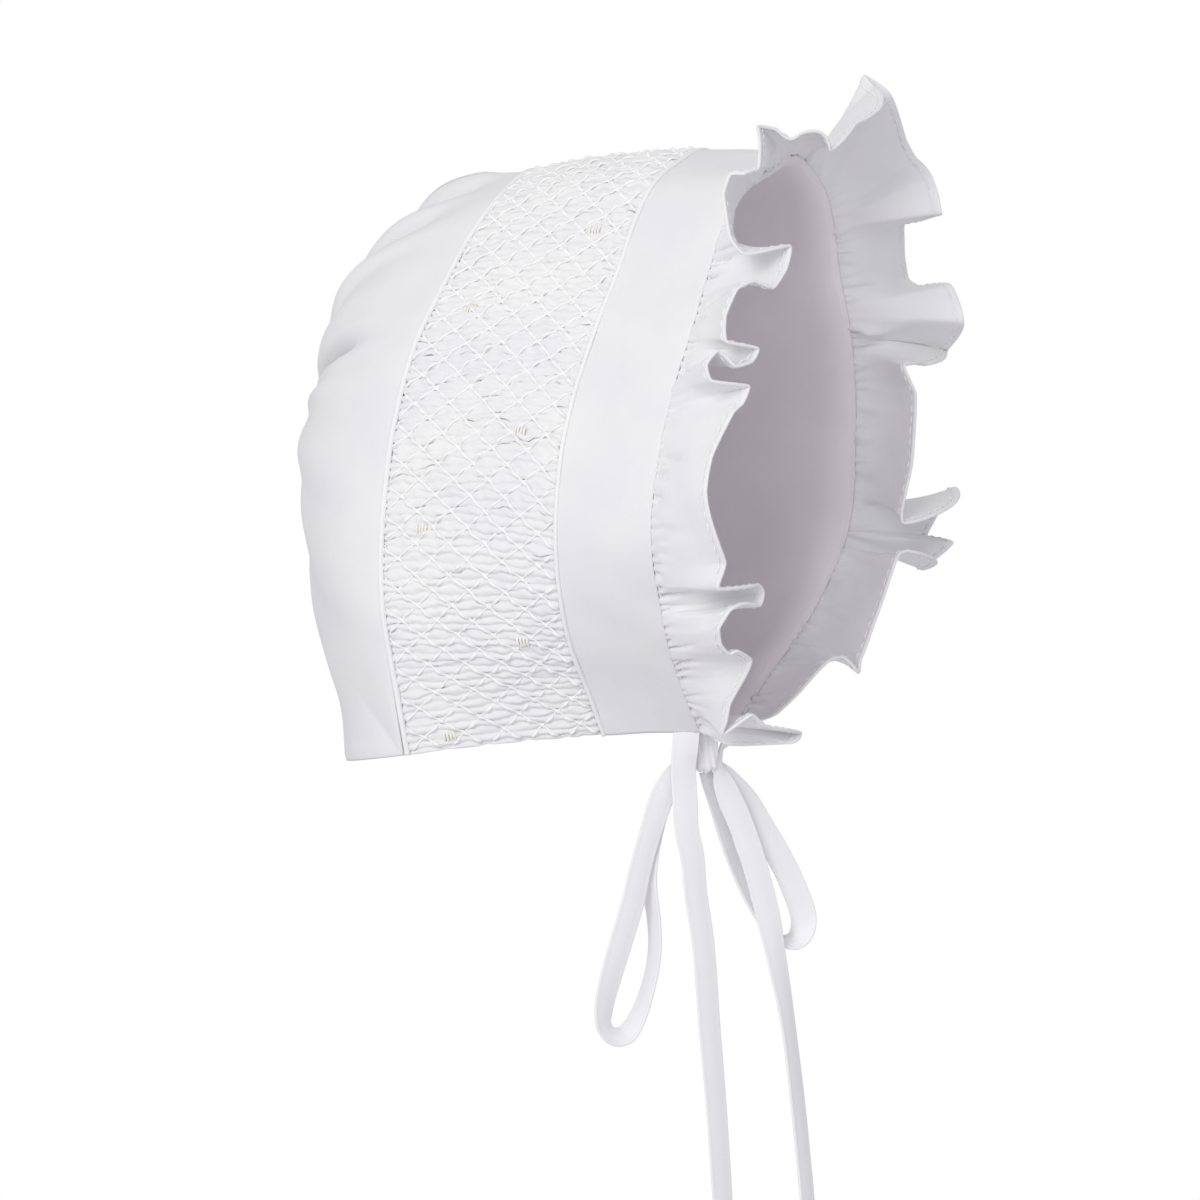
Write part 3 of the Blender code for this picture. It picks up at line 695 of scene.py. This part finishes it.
LAWN = cotton("cotton_lawn", (0.83, 0.83, 0.825), (0.80, 0.80, 0.81), 0.85, 0.34, 0.35, 9.0, 0.6, 0.15)
SMOCKED_LAWN = cotton("smocked_lawn", (0.86, 0.86, 0.85), (0.82, 0.82, 0.83), 0.85, 0.3, 0.3, 3.0, 0.3, 0.1)
# The piping is the cap's own lawn; its brighter tint is a painted highlight, the light that the raised cords
# catch.
PIPED_LAWN = cotton("piped_lawn", (0.90, 0.90, 0.89), (0.87, 0.87, 0.87), 0.8, 0.34, 0.3, 2.5, 0.3, 0.1)
# The lining's lilac tint is painted shade: the lilac grey of the shade inside the cap, laid over its pale
# cotton.
LINING_LAWN = cotton("lining_lawn", (0.89, 0.85, 0.88), (0.86, 0.82, 0.85), 0.9, 0.34, 0.3, 16.0, 1.0, 0.1)
RUFFLE_LAWN = cotton(
    "ruffle_lawn", (0.86, 0.86, 0.86), (0.83, 0.83, 0.84), 0.8, 0.3, 0.3, 7.0, 0.5, 0.15, 0.35
)
RIBBON_WEAVE = cotton(
    "ribbon_weave", (0.95, 0.95, 0.96), (0.93, 0.93, 0.95), 0.6, 0.28, 0.3, 12.0, 0.25, 0.2, 0.2
)
THREAD_COTTON = thread_finish("smocking_thread", (0.94, 0.94, 0.93), 0.6, 0.2)
MOTIF_SILK = thread_finish("motif_silk", (0.90, 0.88, 0.82), 0.45, 0.3)
HEM_THREAD = thread_finish("hem_thread", (0.93, 0.93, 0.94), 0.5, 0.2)


def bow_point(right, down, towards):
    """A point of the bow from its places in the bow's plane in millimetres."""
    offset = np.multiply.outer(right, BOW_ACROSS) - np.multiply.outer(down, UPRIGHT)
    offset = offset + np.multiply.outer(towards, BOW_FRONT)
    return np.array(BOW_PLACE) + offset / 1000.0


def ribbon(name, route, nodes):
    """A ribbon along its route: at each point a line of its width, twisted about the path, with its middle
    raised a little, given a thin wall with thicker selvedges."""
    rows = spline(route, 10)
    path = bow_point(rows[:, 0], rows[:, 1], rows[:, 2])
    ahead = unit(np.gradient(path, axis=0))
    side = unit(np.cross(ahead, BOW_FRONT))
    raised = np.cross(side, ahead)
    twist = np.radians(rows[:, 3])[:, None]
    sideways = np.cos(twist) * side + np.sin(twist) * raised
    facing = np.cross(ahead, sideways)
    across = np.array([-1.0, -0.97, -0.9, -0.8, -0.5, -0.2, 0.2, 0.5, 0.8, 0.9, 0.97, 1.0])[:, None, None]
    width = (RIBBON_WIDTH * rows[:, 4:5] / 2)[None]
    camber = 0.00035 * (1 - across**2) / np.maximum(rows[:, 4:5], 0.3)[None]
    grid = path[None] + across * width * sideways[None] - camber * facing[None]
    edge = np.abs(across[..., 0])
    half = np.where(edge > 0.85, 0.00030, 0.00020) * np.where(edge > 0.99, 0.35, 1.0)
    piece = cloth_wall(name, grid, half, RIBBON_WEAVE)
    finish_piece(piece, "ribbon", *nodes)
    return piece


def bow_knot():
    """The wrap of the bow: a rounded block, an ellipsoid pushed towards its box, with folds running steeply
    down it as narrow hollows."""
    turn, rise = np.meshgrid(np.linspace(0, 2 * math.pi, 64, endpoint=False), np.linspace(-1.45, 1.45, 40))
    ball = np.stack([np.cos(rise) * np.cos(turn), np.cos(rise) * np.sin(turn), np.sin(rise)], axis=-1)
    block = ball / np.abs(ball).max(axis=-1, keepdims=True)
    shape = ball + 0.3 * (block - ball)
    slant = shape[..., 0] + 0.35 * shape[..., 2]
    folds = sum(np.exp(-(((slant - place) / 0.12) ** 2)) for place in (-0.55, 0.1, 0.6))
    shape = shape * (1.0 - 0.10 * folds[..., None])
    size = np.array([KNOT[0], KNOT[2], KNOT[1]]) / 2 * np.array([1.55, 1.15, 1.3])
    local = shape * size
    grid = bow_point(*KNOT_PLACE) + local @ np.stack([BOW_ACROSS, -BOW_FRONT, UPRIGHT])
    index = np.arange(grid.shape[0] * grid.shape[1]).reshape(grid.shape[:2])
    index = np.hstack([index, index[:, :1]])
    poles = len(grid.reshape(-1, 3)) + np.arange(2)
    vertices = np.vstack([grid.reshape(-1, 3), grid[0].mean(axis=0), grid[-1].mean(axis=0)])
    low = np.stack([index[0, 1:], index[0, :-1], np.full(64, poles[0])], axis=-1)
    high = np.stack([index[-1, :-1], index[-1, 1:], np.full(64, poles[1])], axis=-1)
    faces = [quads(index), low, high]
    spots = np.stack([turn * KNOT[0] / 2, rise * KNOT[1] / 2], axis=-1).reshape(-1, 2)
    spots = np.vstack([spots, spots[:2]])
    piece = add_mesh("bow_knot_wrap", vertices, faces, RIBBON_WEAVE, [spots[group] for group in faces])
    return finish_piece(piece, "ribbon", "bow_knot")


KNOT_WRAP = bow_knot()
ribbon("left_tie_ribbon", LEFT_TIE, ["left_tie"])
ribbon("right_tie_ribbon", RIGHT_TIE, ["right_tie"])
ribbon("left_loop_ribbon", LEFT_LOOP, ["left_loop"])
ribbon("right_loop_ribbon", RIGHT_LOOP, ["right_loop"])


def edge_dip(distance, width):
    """From nothing at an edge to one at a width from it, as a quarter of a circle."""
    near = np.clip(distance / width, 0.0, 1.0)
    return np.sqrt(1.0 - (1.0 - near) ** 2)


def stations(length, edge, step):
    """Places from one end of a length to the other, close together near both ends."""
    near = edge * np.array([0.0, 0.06, 0.16, 0.32, 0.55, 0.8])
    inner = np.linspace(edge, length - edge, max(2, round((length - 2 * edge) / step) + 1))
    return np.concatenate([near, inner, length - near[::-1]])


def swells(depth, share, rows):
    """Soft dents and swells, as a sum of bell curves along the arch and in depth, in metres."""
    length = lengths_along(ARCHES[1])[-1]
    total = 0.0
    for at, deep, half_long, half_deep, height in rows:
        x = (share - at) * length / (half_long / 1000.0)
        y = (depth - deep / 1000.0) / (half_deep / 1000.0)
        total = total + height / 1000.0 * np.exp(-(x**2) - y**2)
    return total


def front_band():
    """The plain band: the cap from the ruffle's seam to the first piping, with its front edge rounded as a
    fold, its back edge sunk under the piping, and soft swells between."""
    depth = stations(BAND_DEPTH - 0.0004, 0.0012, 0.0009)[:, None]
    share = np.linspace(0.0, 1.0, 420)[None]
    from_piping = BAND_DEPTH - 0.0004 - depth
    height = 0.0004 + 0.0003 * edge_dip(from_piping, 0.0012) + swells(depth, share, BAND_SWELLS)
    height = height + 0.00012 * ripple(share * 60, depth * 260, 1.0)
    half = 0.00042 * np.maximum(edge_dip(depth, 0.0006), 0.2)
    middle = lifted(depth, share, height)
    piece = cloth_wall("front_band_cloth", middle, half, LAWN)
    finish_piece(piece, "outer_cotton", "front_band")


def pleat_place(pleat, row):
    """Where a pleat lies along the crown, in half diamonds: evenly, but drawn towards the stitches."""
    even = pleat / PLEATS_PER_HALF
    loose = 0.12 * ripple(even * 2.6, row * 1.9, 16.0) + 0.07 * ripple(even * 4.4, row * 4.6, 21.0)
    even = even + loose * np.sin(math.pi * even / HALF_DIAMONDS) ** 0.3
    drawn = even
    for _ in range(3):
        drawn = even - PINCH * np.sin(math.pi * drawn) * np.cos(math.pi * row)
    return drawn


def pleat_height(along, row, ridge):
    """The pleats' height: rounded ridges over a base, lower and pressed in where the threads cross."""
    held = np.clip(np.cos(math.pi * along) * np.cos(math.pi * row), 0.0, 1.0) ** 2
    uneven = 1.0 + 0.3 * ripple(along * 1.9, row * 1.6, 2.0) + 0.4 * ripple(along * 5.3, row * 4.3, 14.0)
    edge = np.minimum(row, HALF_ROWS - row) / HALF_ROWS * SMOCKING_DEPTH
    seam = edge_dip(edge, 0.0013)
    body = PLEAT_BASE + PLEAT_RISE * ridge * uneven * (1.0 - 0.25 * held) - PINCH_DROP * held
    slits = SEAM_SLIT * (1.0 - ridge) * np.exp(-((edge / 0.0016) ** 2))
    return body * (0.40 + 0.60 * seam) - slits


def smocking_point(along, row, height):
    """A point over the smocked panel at half diamonds along the crown and half rows from its front."""
    return lifted(BAND_DEPTH + SMOCKING_DEPTH * row / HALF_ROWS, along / HALF_DIAMONDS, height)


def smocking_normal(along, row):
    """The outward direction of the panel at such a place."""
    return cap_normal(BAND_DEPTH + SMOCKING_DEPTH * row / HALF_ROWS, along / HALF_DIAMONDS)


def smocked_panel():
    """The pleated panel in two pieces that meet over the crown. Its columns follow the pleats,
    PLEAT_SAMPLES to each. Its height is a power of a cosine, which leaves a narrow slit between pleats."""
    pleats = HALF_DIAMONDS * PLEATS_PER_HALF
    pleat = np.linspace(0.0, pleats, pleats * PLEAT_SAMPLES + 1)[None]
    margin = 0.07
    row = np.linspace(margin, HALF_ROWS - margin, 61)[:, None]
    along = np.clip(pleat_place(pleat, row), 0.0, HALF_DIAMONDS)
    ridge = np.abs(np.cos(math.pi * pleat)) ** 0.6 + 0.0 * row
    middle = smocking_point(along, row, pleat_height(along, row, ridge))
    half_way = middle.shape[1] // 2
    left = cloth_wall("smocked_panel_left", middle[:, : half_way + 1], 0.00016, SMOCKED_LAWN)
    right = cloth_wall("smocked_panel_right", middle[:, half_way:], 0.00016, SMOCKED_LAWN)
    finish_piece(left, "smocked_cotton", "smocked_panel")
    finish_piece(right, "smocked_cotton", "smocked_panel")


def smocking_threads():
    """The trellis: threads that run slantwise over the pleats both ways, through the crossings, as straight
    lines of one slope on the panel. Each one dips between two pleats and sinks where the other way leads."""
    for name, lean, thick in (("smocking_threads_down", 1.0, 1.0), ("smocking_threads_up", -1.0, 0.9)):
        starts = np.arange(-HALF_ROWS, HALF_DIAMONDS + HALF_ROWS + 1, 2)[:, None]
        bounds = np.sort(lean * (np.array([0.3, HALF_DIAMONDS - 0.3]) - starts), axis=1)
        low, high = np.clip(bounds, 0.15, HALF_ROWS - 0.15).T[..., None]
        kept = (high - low)[:, 0] > 1.0
        rows = low[kept] + (high - low)[kept] * np.linspace(0.0, 1.0, THREAD_SAMPLES)
        along = starts[kept] + lean * rows
        along = along + 0.05 * ripple(along * 2.3, rows * 1.7, 3.0 + lean)
        pleat = PLEATS_PER_HALF * (along + PINCH * np.sin(math.pi * along) * np.cos(math.pi * rows))
        ridge = 0.72 + 0.28 * np.cos(2 * math.pi * pleat)
        sway = lean * np.cos(2 * math.pi * along / HALF_DIAMONDS)
        sway = sway + 0.6 * ripple(along * 0.7, rows * 0.8, 5.0 + lean)
        height = pleat_height(along, rows, ridge) + THREAD_RISE + THREAD_SWAY * sway
        points = smocking_point(along, rows, height)
        ups = smocking_normal(along, rows)
        swell = 0.85 + 0.25 * np.cos(2 * math.pi * pleat)
        piece = tubes(name, points, ups, THREAD / 2 * thick * swell, 5, THREAD_COTTON)
        finish_piece(piece, "smocked_cotton")


def motifs():
    """Satin stitches on the smocking: four short bars side by side at each place, on both sides."""
    paths = []
    ups = []
    for share, across in MOTIFS:
        for at in (share, 1.0 - share):
            row = across * HALF_ROWS
            for bar in range(4):
                rows = np.full(9, row + 0.17 * (bar - 1.5))
                along = at * HALF_DIAMONDS + np.linspace(-0.42, 0.42, 9) * (1.0 - 0.12 * abs(bar - 1.5))
                along = np.clip(along, 0.05, HALF_DIAMONDS - 0.05)
                arc = 0.0009 + 0.0006 * np.sin(np.linspace(0, math.pi, 9))
                paths.append(smocking_point(along, rows, arc))
                ups.append(smocking_normal(along, rows))
    radius = 0.00034 * np.array([0.45, 0.8, 0.95, 1.0, 1.0, 1.0, 0.95, 0.8, 0.45])
    piece = tubes("satin_motifs", np.array(paths), np.array(ups), radius, 8, MOTIF_SILK)
    finish_piece(piece, "smocked_cotton")


def piping(name, depth, thick, node_name):
    """A covered cord along a line of the cap, slightly uneven in height and girth."""
    share = np.linspace(0.0, 1.0, 700)
    height = PIPING - 0.0001 - thick / 2 + 0.00006 * ripple(share * 90, 0.0, 4.0)
    path = lifted(depth, share, height)
    ups = cap_normal(depth, share)
    girth = thick / 2 * (1.0 + 0.04 * ripple(share * 210, 1.0, 5.0))
    piece = tubes(name, path[None], ups[None], girth[None], 14, PIPED_LAWN)
    finish_piece(piece, "piping_cotton", node_name)


def back_rim(depth, along, nape):
    """The closed rim of the back: over the crown from left to right, then along the nape to the left.

    Returns the points and the outward direction of the cloth at each, a mean over the points near it."""
    over = cap_point(depth, np.linspace(0.0, 1.0, along + 1))
    tangent = np.gradient(over, axis=0)
    facing = unit(np.stack([-tangent[:, 2], np.zeros(len(over)), tangent[:, 0]], axis=1))
    turn = np.linspace(0.0, math.pi, nape + 1)[1:-1]
    corner = over[-1]
    under = np.stack(
        [
            corner[0] * np.cos(turn),
            corner[1] + NAPE_DEPTH * np.sin(turn),
            corner[2] - NAPE_FALL * np.sin(turn),
        ],
        axis=1,
    )
    flat = np.stack([NAPE_DEPTH * np.cos(turn), corner[0] * np.sin(turn), 0 * turn], axis=1)
    facing = np.vstack([facing, unit(flat)])
    soft = sum(np.roll(facing, k, axis=0) for k in range(-FACING_REACH, FACING_REACH + 1))
    return np.vstack([over, under]), unit(soft)


def pucker_height(turn, r):
    """The gathers' height at a turn from straight up and a share r of the way from the rim to the centre:
    a sum of bumps, each a cosine in its turn times a bell curve round its own middle."""
    table = columns(PUCKER_COLUMNS, PUCKER_ROWS)
    away = np.clip((np.abs(turn)[..., None] - table["turn"]) / table["spread"], -1.0, 1.0)
    bell = np.exp(-(((r[..., None] - table["middle"]) / table["reach"]) ** 2))
    bumps = (0.5 + 0.5 * np.cos(math.pi * away)) * bell * table["rise"]
    held = np.clip(r / PUCKER_START, 0.0, 1.0) ** 1.5 * np.clip((1.0 - r) / 0.3, 0.0, 1.0)
    return PUCKER * bumps.sum(axis=-1) * held


def back_sheet(depth, shares, height):
    """Rings of points from the rim of the back in to its gathered centre, at shares of each spoke.

    Each spoke is a cubic that leaves the rim along the cloth and arrives flat at the centre. Each ring is
    eased towards its own running mean, which rounds the neck corners. The large gathers rise along it, and
    fine pleats fan out of the centre."""
    rim, facing = back_rim(depth, CROWN_POINTS, NAPE_POINTS)
    crown, neck = rim[CROWN_POINTS // 2], rim[0]
    centre = np.array([0.0, crown[1] + BACK_DEPTH, crown[2] + GATHER_DROP * (neck[2] - crown[2])])
    inward = centre - rim
    leaving = inward - facing * (inward * facing).sum(axis=1, keepdims=True)
    arriving = inward * np.array([1.0, 0.0, 1.0])
    end = centre - GATHER_RADIUS * unit(arriving)
    below = np.clip(unit(inward)[:, 2:], 0.0, 1.0)
    fullness = BACK_FULLNESS + (NAPE_FULLNESS - BACK_FULLNESS) * below
    r = shares[:, None, None]
    sheet = (
        (2 * r**3 - 3 * r**2 + 1) * rim
        + (r**3 - 2 * r**2 + r) * fullness * leaving
        + (3 * r**2 - 2 * r**3) * end
        + (r**3 - r**2) * CENTRE_FULLNESS * arriving
    )
    nearby = np.arange(-EASING_REACH, EASING_REACH + 1)
    weights = np.exp(-((nearby / EASING_SPREAD) ** 2))
    rounded = sum(w * np.roll(sheet, k, axis=1) for k, w in zip(nearby, weights)) / weights.sum()
    eased = np.clip(r / EASING_START, 0.0, 1.0)
    sheet = sheet + (rounded - sheet) * eased**2 * (3.0 - 2.0 * eased)
    outward = sheet_normals(sheet, True)
    turn = np.degrees(np.arctan2(-inward[:, 0], -inward[:, 2]))
    folds = height * pucker_height(turn[None], shares[:, None])[..., None]
    fan = np.abs(np.cos(np.radians(turn) * 22 + 0.8 * ripple(turn / 30, 0.0, 6.0)))[None, :, None] ** 0.7
    pleats = 0.0011 * np.clip((r - 0.55) / 0.45, 0.0, 1.0) ** 2 * (fan - 0.5) * height
    return sheet + outward * (folds + pleats)


def back_panel():
    """The back: rings from the second piping to the gathered centre, its rim sunk under the piping."""
    shares = np.concatenate([[0.0, 0.004, 0.01, 0.02, 0.032, 0.045], np.linspace(0.06, 1.0, 62)])
    middle = back_sheet(WHOLE_DEPTH + PIPING / 2, shares, 1.0)
    lift = 0.00045 * edge_dip(shares, 0.03)[:, None, None]
    small = 0.00012 * ripple(middle[..., 0] * 260, middle[..., 2] * 200, 7.0)[..., None]
    middle = middle + sheet_normals(middle, True) * (lift + small * edge_dip(shares, 0.1)[:, None, None])
    piece = cloth_wall("back_panel_cloth", middle, 0.00040, LAWN, ring=True, hub=True)
    finish_piece(piece, "outer_cotton", "back_panel")


def lining():
    """The lining: the cap's inside from the ruffle's seam to the second piping, then the back's inside to
    the centre, as two walls that meet. A facing's step runs behind the seam, the edge rises to the ruffle's
    root, and slack creases are a slow ripple over the cloth."""
    depth = stations(WHOLE_DEPTH, 0.001, 0.0022)[:, None]
    share = np.linspace(0.0, 1.0, 301)[None]
    step = FACING_STEP / (1.0 + np.exp((depth - FACING_DEPTH) / 0.00025)) * edge_dip(depth, 0.003)
    slack = LINING_SLACK * edge_dip(depth, 0.02) * ripple(share * 30, depth * 50, 8.0)
    sunk = (LINING_EASE + CLOTH) * edge_dip(depth, 0.0040)
    height = 0.0005 - sunk - step - np.maximum(slack, -0.0002)
    front = cloth_wall("lining_front_cloth", lifted(depth - 0.0003, share, height), 0.0003, LINING_LAWN)
    finish_piece(front, "lining_cotton", "lining")
    share = np.linspace(0.0, 1.0, 700)
    edge = lifted(-0.0002, share, 0.00005 + 0.00014 * ripple(share * 230, 0.0, 15.0))
    girth = 0.00042 * (1.0 + 0.2 * ripple(share * 170, 0.0, 17.0))
    fold = tubes("lining_edge_fold", edge[None], cap_normal(0.0, share)[None], girth[None], 10, LINING_LAWN)
    finish_piece(fold, "lining_cotton", "lining")
    shares = np.concatenate([[0.0, 0.01, 0.025], np.linspace(0.05, 1.0, 29)])
    middle = back_sheet(WHOLE_DEPTH, shares, 0.6)
    middle = middle - sheet_normals(middle, True) * (LINING_EASE + CLOTH / 2)
    rear = cloth_wall("lining_back_cloth", middle, 0.0003, LINING_LAWN, ring=True, hub=True)
    finish_piece(rear, "lining_cotton", "lining")


def seam_share(down, side):
    """Where a fold starts on the seam, as a share of the way over the crown."""
    line = ARCHES[0]
    along = lengths_along(line) / lengths_along(line)[-1]
    half = len(line) // 2
    drop = (line[half, 2] - line[:, 2]) / CROWN_TO_NECK
    left = np.interp(down, drop[: half + 1][::-1], along[: half + 1][::-1])
    return left if side < 0 else 1.0 - left


def ruffle_turns(steps):
    """The hem's turns over the whole seam as smooth rows of share, swing, slip and reach."""
    turns = []
    for side, rows in ((-1, LEFT_HEM_ROWS), (-1, (CROWN_HEM_ROW,)), (1, RIGHT_HEM_ROWS)):
        for down, swing, slip, reach in rows:
            turns.append((seam_share(down, side), math.radians(swing), side * slip, reach))
    share, swing, slip, reach = spline(np.array(turns), steps, HEM_SLACK).T
    return np.clip(np.maximum.accumulate(share), 0.0, 1.0), swing, slip, reach


def ruffle_point(r, turns):
    """A point of the ruffle at a share of the way from seam to hem. It leaves the seam at the mean lean and
    swings to its own fold by the time it reaches the hem."""
    share, swing, slip, reach = turns
    step = 0.004
    tangent = unit(
        cap_point(0.0, np.clip(share + step, 0, 1)) - cap_point(0.0, np.clip(share - step, 0, 1))
    )
    forward = np.array([0.0, -1.0, 0.0])
    outward = np.cross(forward, tangent)
    outward[:, 2] = np.maximum(outward[:, 2], 0.0)
    outward = unit(outward)
    seam = cap_point(0.0007, share) + outward * 0.0004
    standing = np.exp(-(((share - CROWN_FOLD["share"]) / CROWN_FOLD["spread"]) ** 2))
    lean = np.radians(RUFFLE_LEAN + CROWN_FOLD["lean"] * standing)
    swung = r**SWING_EASE * (1.0 + SWING_LEAD - SWING_LEAD * r)
    turned = (lean + (swing - lean) * swung ** (1.0 + CROWN_FOLD["lateness"] * standing))[..., None]
    gone = (RUFFLE_REACH * r * reach)[..., None]
    slid = (RUFFLE_REACH * slip * r**SLIP_EASE)[..., None]
    return seam + gone * (np.cos(turned) * forward + np.sin(turned) * outward) + slid * tangent


def scatter(number, seed):
    """Uneven values from 0 to 1 for whole numbers: the fractions left by multiples of an irrational step."""
    return (number * (0.6180339887 + 0.1370 * seed) + 0.31 * seed) % 1.0


def gathers(r, share):
    """The fine gathers at the ruffle's seam, as a sum of narrow hollows: each starts at its place on the
    seam, slants a little, and widens and fades towards the hem. Small puffs stand between them."""
    length = lengths_along(ARCHES[0])[-1]
    number = np.arange(GATHERS)
    place = (number + 0.5 + 0.8 * (scatter(number, 1) - 0.5)) / GATHERS * length
    deep = 0.00070 + 0.00180 * scatter(number, 2) ** 2
    wide = 0.00030 + 0.00024 * scatter(number, 3)
    run = 0.12 + 0.45 * scatter(number, 4) ** 2
    slant = 0.013 * (scatter(number, 5) - 0.35)
    r = r[..., None]
    aside = (share[..., None] * length - place - slant * r) / (wide * (1.0 + 1.6 * r / run))
    fine = (deep * np.exp(-(aside**2) - (r / run) ** 2)).sum(axis=-1)
    puffs = 0.00028 * ripple(share * length / 0.0011, 0.0, 9.0) * np.exp(-r[..., 0] / 0.25)
    return (puffs - fine) * (0.30 + 0.70 * np.clip(r[..., 0] / 0.07, 0.0, 1.0))


def ruffle():
    """The ruffle: its folded sheet with gathers at the seam, soft crumples, and a hem turned twice, which is
    a thicker strip along its edge with a step at its inner side and a groove under its stitches."""
    turns = ruffle_turns(TURN_STEPS)
    hem = np.array([1.25, 1.08, 1.0, 0.92, 0.82, 0.77, 0.72, 0.5, 0.28, 0.16, 0.08, 0.03, 0.0])
    r = np.concatenate(
        [np.linspace(0.0, 0.3, 13)[:-1], np.linspace(0.3, 0.88, 13)[:-1], 1.0 - hem * HEM / RUFFLE_REACH]
    )[:, None]
    base = ruffle_point(r, turns)
    normals = -sheet_normals(base, False)
    share = turns[0][None]
    crumple = 0.00035 * ripple(share * 95, r * 5, 13.0) * np.clip(r / 0.2, 0, 1) * (1.0 - r**4)
    middle = base + normals * (gathers(r, share) + crumple)[..., None]
    from_hem = np.linalg.norm(middle - middle[-1:], axis=-1)
    turned_up = 1.0 / (1.0 + np.exp((from_hem - HEM) / 0.00006))
    groove = 0.00014 * np.exp(-(((from_hem - STITCH_INSET) / 0.00022) ** 2))
    half = RUFFLE_HALF + (HEM_HALF - RUFFLE_HALF) * turned_up - groove
    half = half * np.maximum(edge_dip(from_hem, 0.0005), 0.25)
    piece = cloth_wall("ruffle_cloth", middle, half, RUFFLE_LAWN, flip=True)
    finish_piece(piece, "ruffle_cotton", "ruffle")
    hem_stitches(turns)


def hem_stitches(turns):
    """Running stitches along the hem on both its faces, short tubes that dip at their ends."""
    r = 1.0 - STITCH_INSET / (RUFFLE_REACH * np.maximum(turns[3], 0.3))
    line = ruffle_point(r, turns)
    inner = ruffle_point(r - 0.02, turns)
    normals = unit(np.cross(np.gradient(line, axis=0), line - inner))
    along = lengths_along(line)
    starts = np.arange(0.002, along[-1] - 0.003, STITCH_PITCH)
    ticks = np.linspace(0.0, STITCH, 7)
    places = starts[:, None] + ticks[None]
    paths = np.stack([np.interp(places, along, axis) for axis in line.T], axis=-1)
    ups = unit(np.stack([np.interp(places, along, axis) for axis in normals.T], axis=-1))
    arc = (0.00030 + 0.00016 * np.sin(math.pi * ticks / STITCH))[None, :, None]
    both = np.concatenate([paths + ups * arc, paths - ups * arc])
    radius = 0.00019 * np.array([0.5, 0.85, 1.0, 1.0, 1.0, 0.85, 0.5])
    piece = tubes("hem_stitches", both, np.concatenate([ups, ups]), radius, 6, HEM_THREAD)
    finish_piece(piece, "ruffle_cotton")


front_band()
smocked_panel()
smocking_threads()
motifs()
piping("front_piping_cord", BAND_DEPTH, 0.0011, "front_piping")
piping("back_piping_cord", WHOLE_DEPTH, 0.0014, "back_piping")
back_panel()
lining()
ruffle()


def studio():
    """A pale floor below the bow, a white surround and one soft light."""
    bpy.ops.mesh.primitive_plane_add(size=8.0, location=(0.0, 0.0, -0.30))
    floor = bpy.context.object
    floor.name = "floor"
    pale = bpy.data.materials.new("pale_floor")
    pale.use_nodes = True
    floor_tree = pale.node_tree
    shader = floor_tree.nodes["Principled BSDF"]
    shader.inputs["Base Color"].default_value = (0.8, 0.79, 0.81, 1.0)
    shader.inputs["Roughness"].default_value = 0.9
    glow = node(floor_tree, "ShaderNodeEmission", Strength=1.0)
    direct = node(floor_tree, "ShaderNodeLightPath")
    blend = node(floor_tree, "ShaderNodeMixShader")
    floor_tree.links.new(direct.outputs["Is Camera Ray"], blend.inputs["Fac"])
    floor_tree.links.new(shader.outputs["BSDF"], blend.inputs[1])
    floor_tree.links.new(glow.outputs["Emission"], blend.inputs[2])
    floor_tree.links.new(blend.outputs["Shader"], floor_tree.nodes["Material Output"].inputs["Surface"])
    floor.data.materials.append(pale)
    scene = bpy.context.scene
    scene.view_settings.view_transform = "Standard"
    scene.view_settings.look = "None"
    world = bpy.data.worlds.new("white_surround")
    world.use_nodes = True
    scene.world = world
    tree = world.node_tree
    light = tree.nodes["Background"]
    light.inputs["Color"].default_value = (0.98, 0.97, 1.0, 1.0)
    light.inputs["Strength"].default_value = 0.63
    seen = node(tree, "ShaderNodeBackground", Strength=1.0)
    seen.inputs["Color"].default_value = (1.0, 1.0, 1.0, 1.0)
    path = node(tree, "ShaderNodeLightPath")
    mix = node(tree, "ShaderNodeMixShader")
    tree.links.new(path.outputs["Is Camera Ray"], mix.inputs["Fac"])
    tree.links.new(light.outputs["Background"], mix.inputs[1])
    tree.links.new(seen.outputs["Background"], mix.inputs[2])
    tree.links.new(mix.outputs["Shader"], tree.nodes["World Output"].inputs["Surface"])
    soft_light("key", (-1.29, -0.25, 0.42), 0.6, 7.9)


def soft_light(name, place, size, watts):
    """A square soft light aimed at the bonnet."""
    data = bpy.data.lights.new(name, "AREA")
    data.size = size
    data.energy = watts
    light = bpy.data.objects.new(name, data)
    light.location = place
    aim = Vector((0.0, 0.0, -0.08)) - Vector(place)
    light.rotation_mode = "QUATERNION"
    light.rotation_quaternion = aim.to_track_quat("-Z", "Y")
    bpy.context.scene.collection.objects.link(light)


studio()
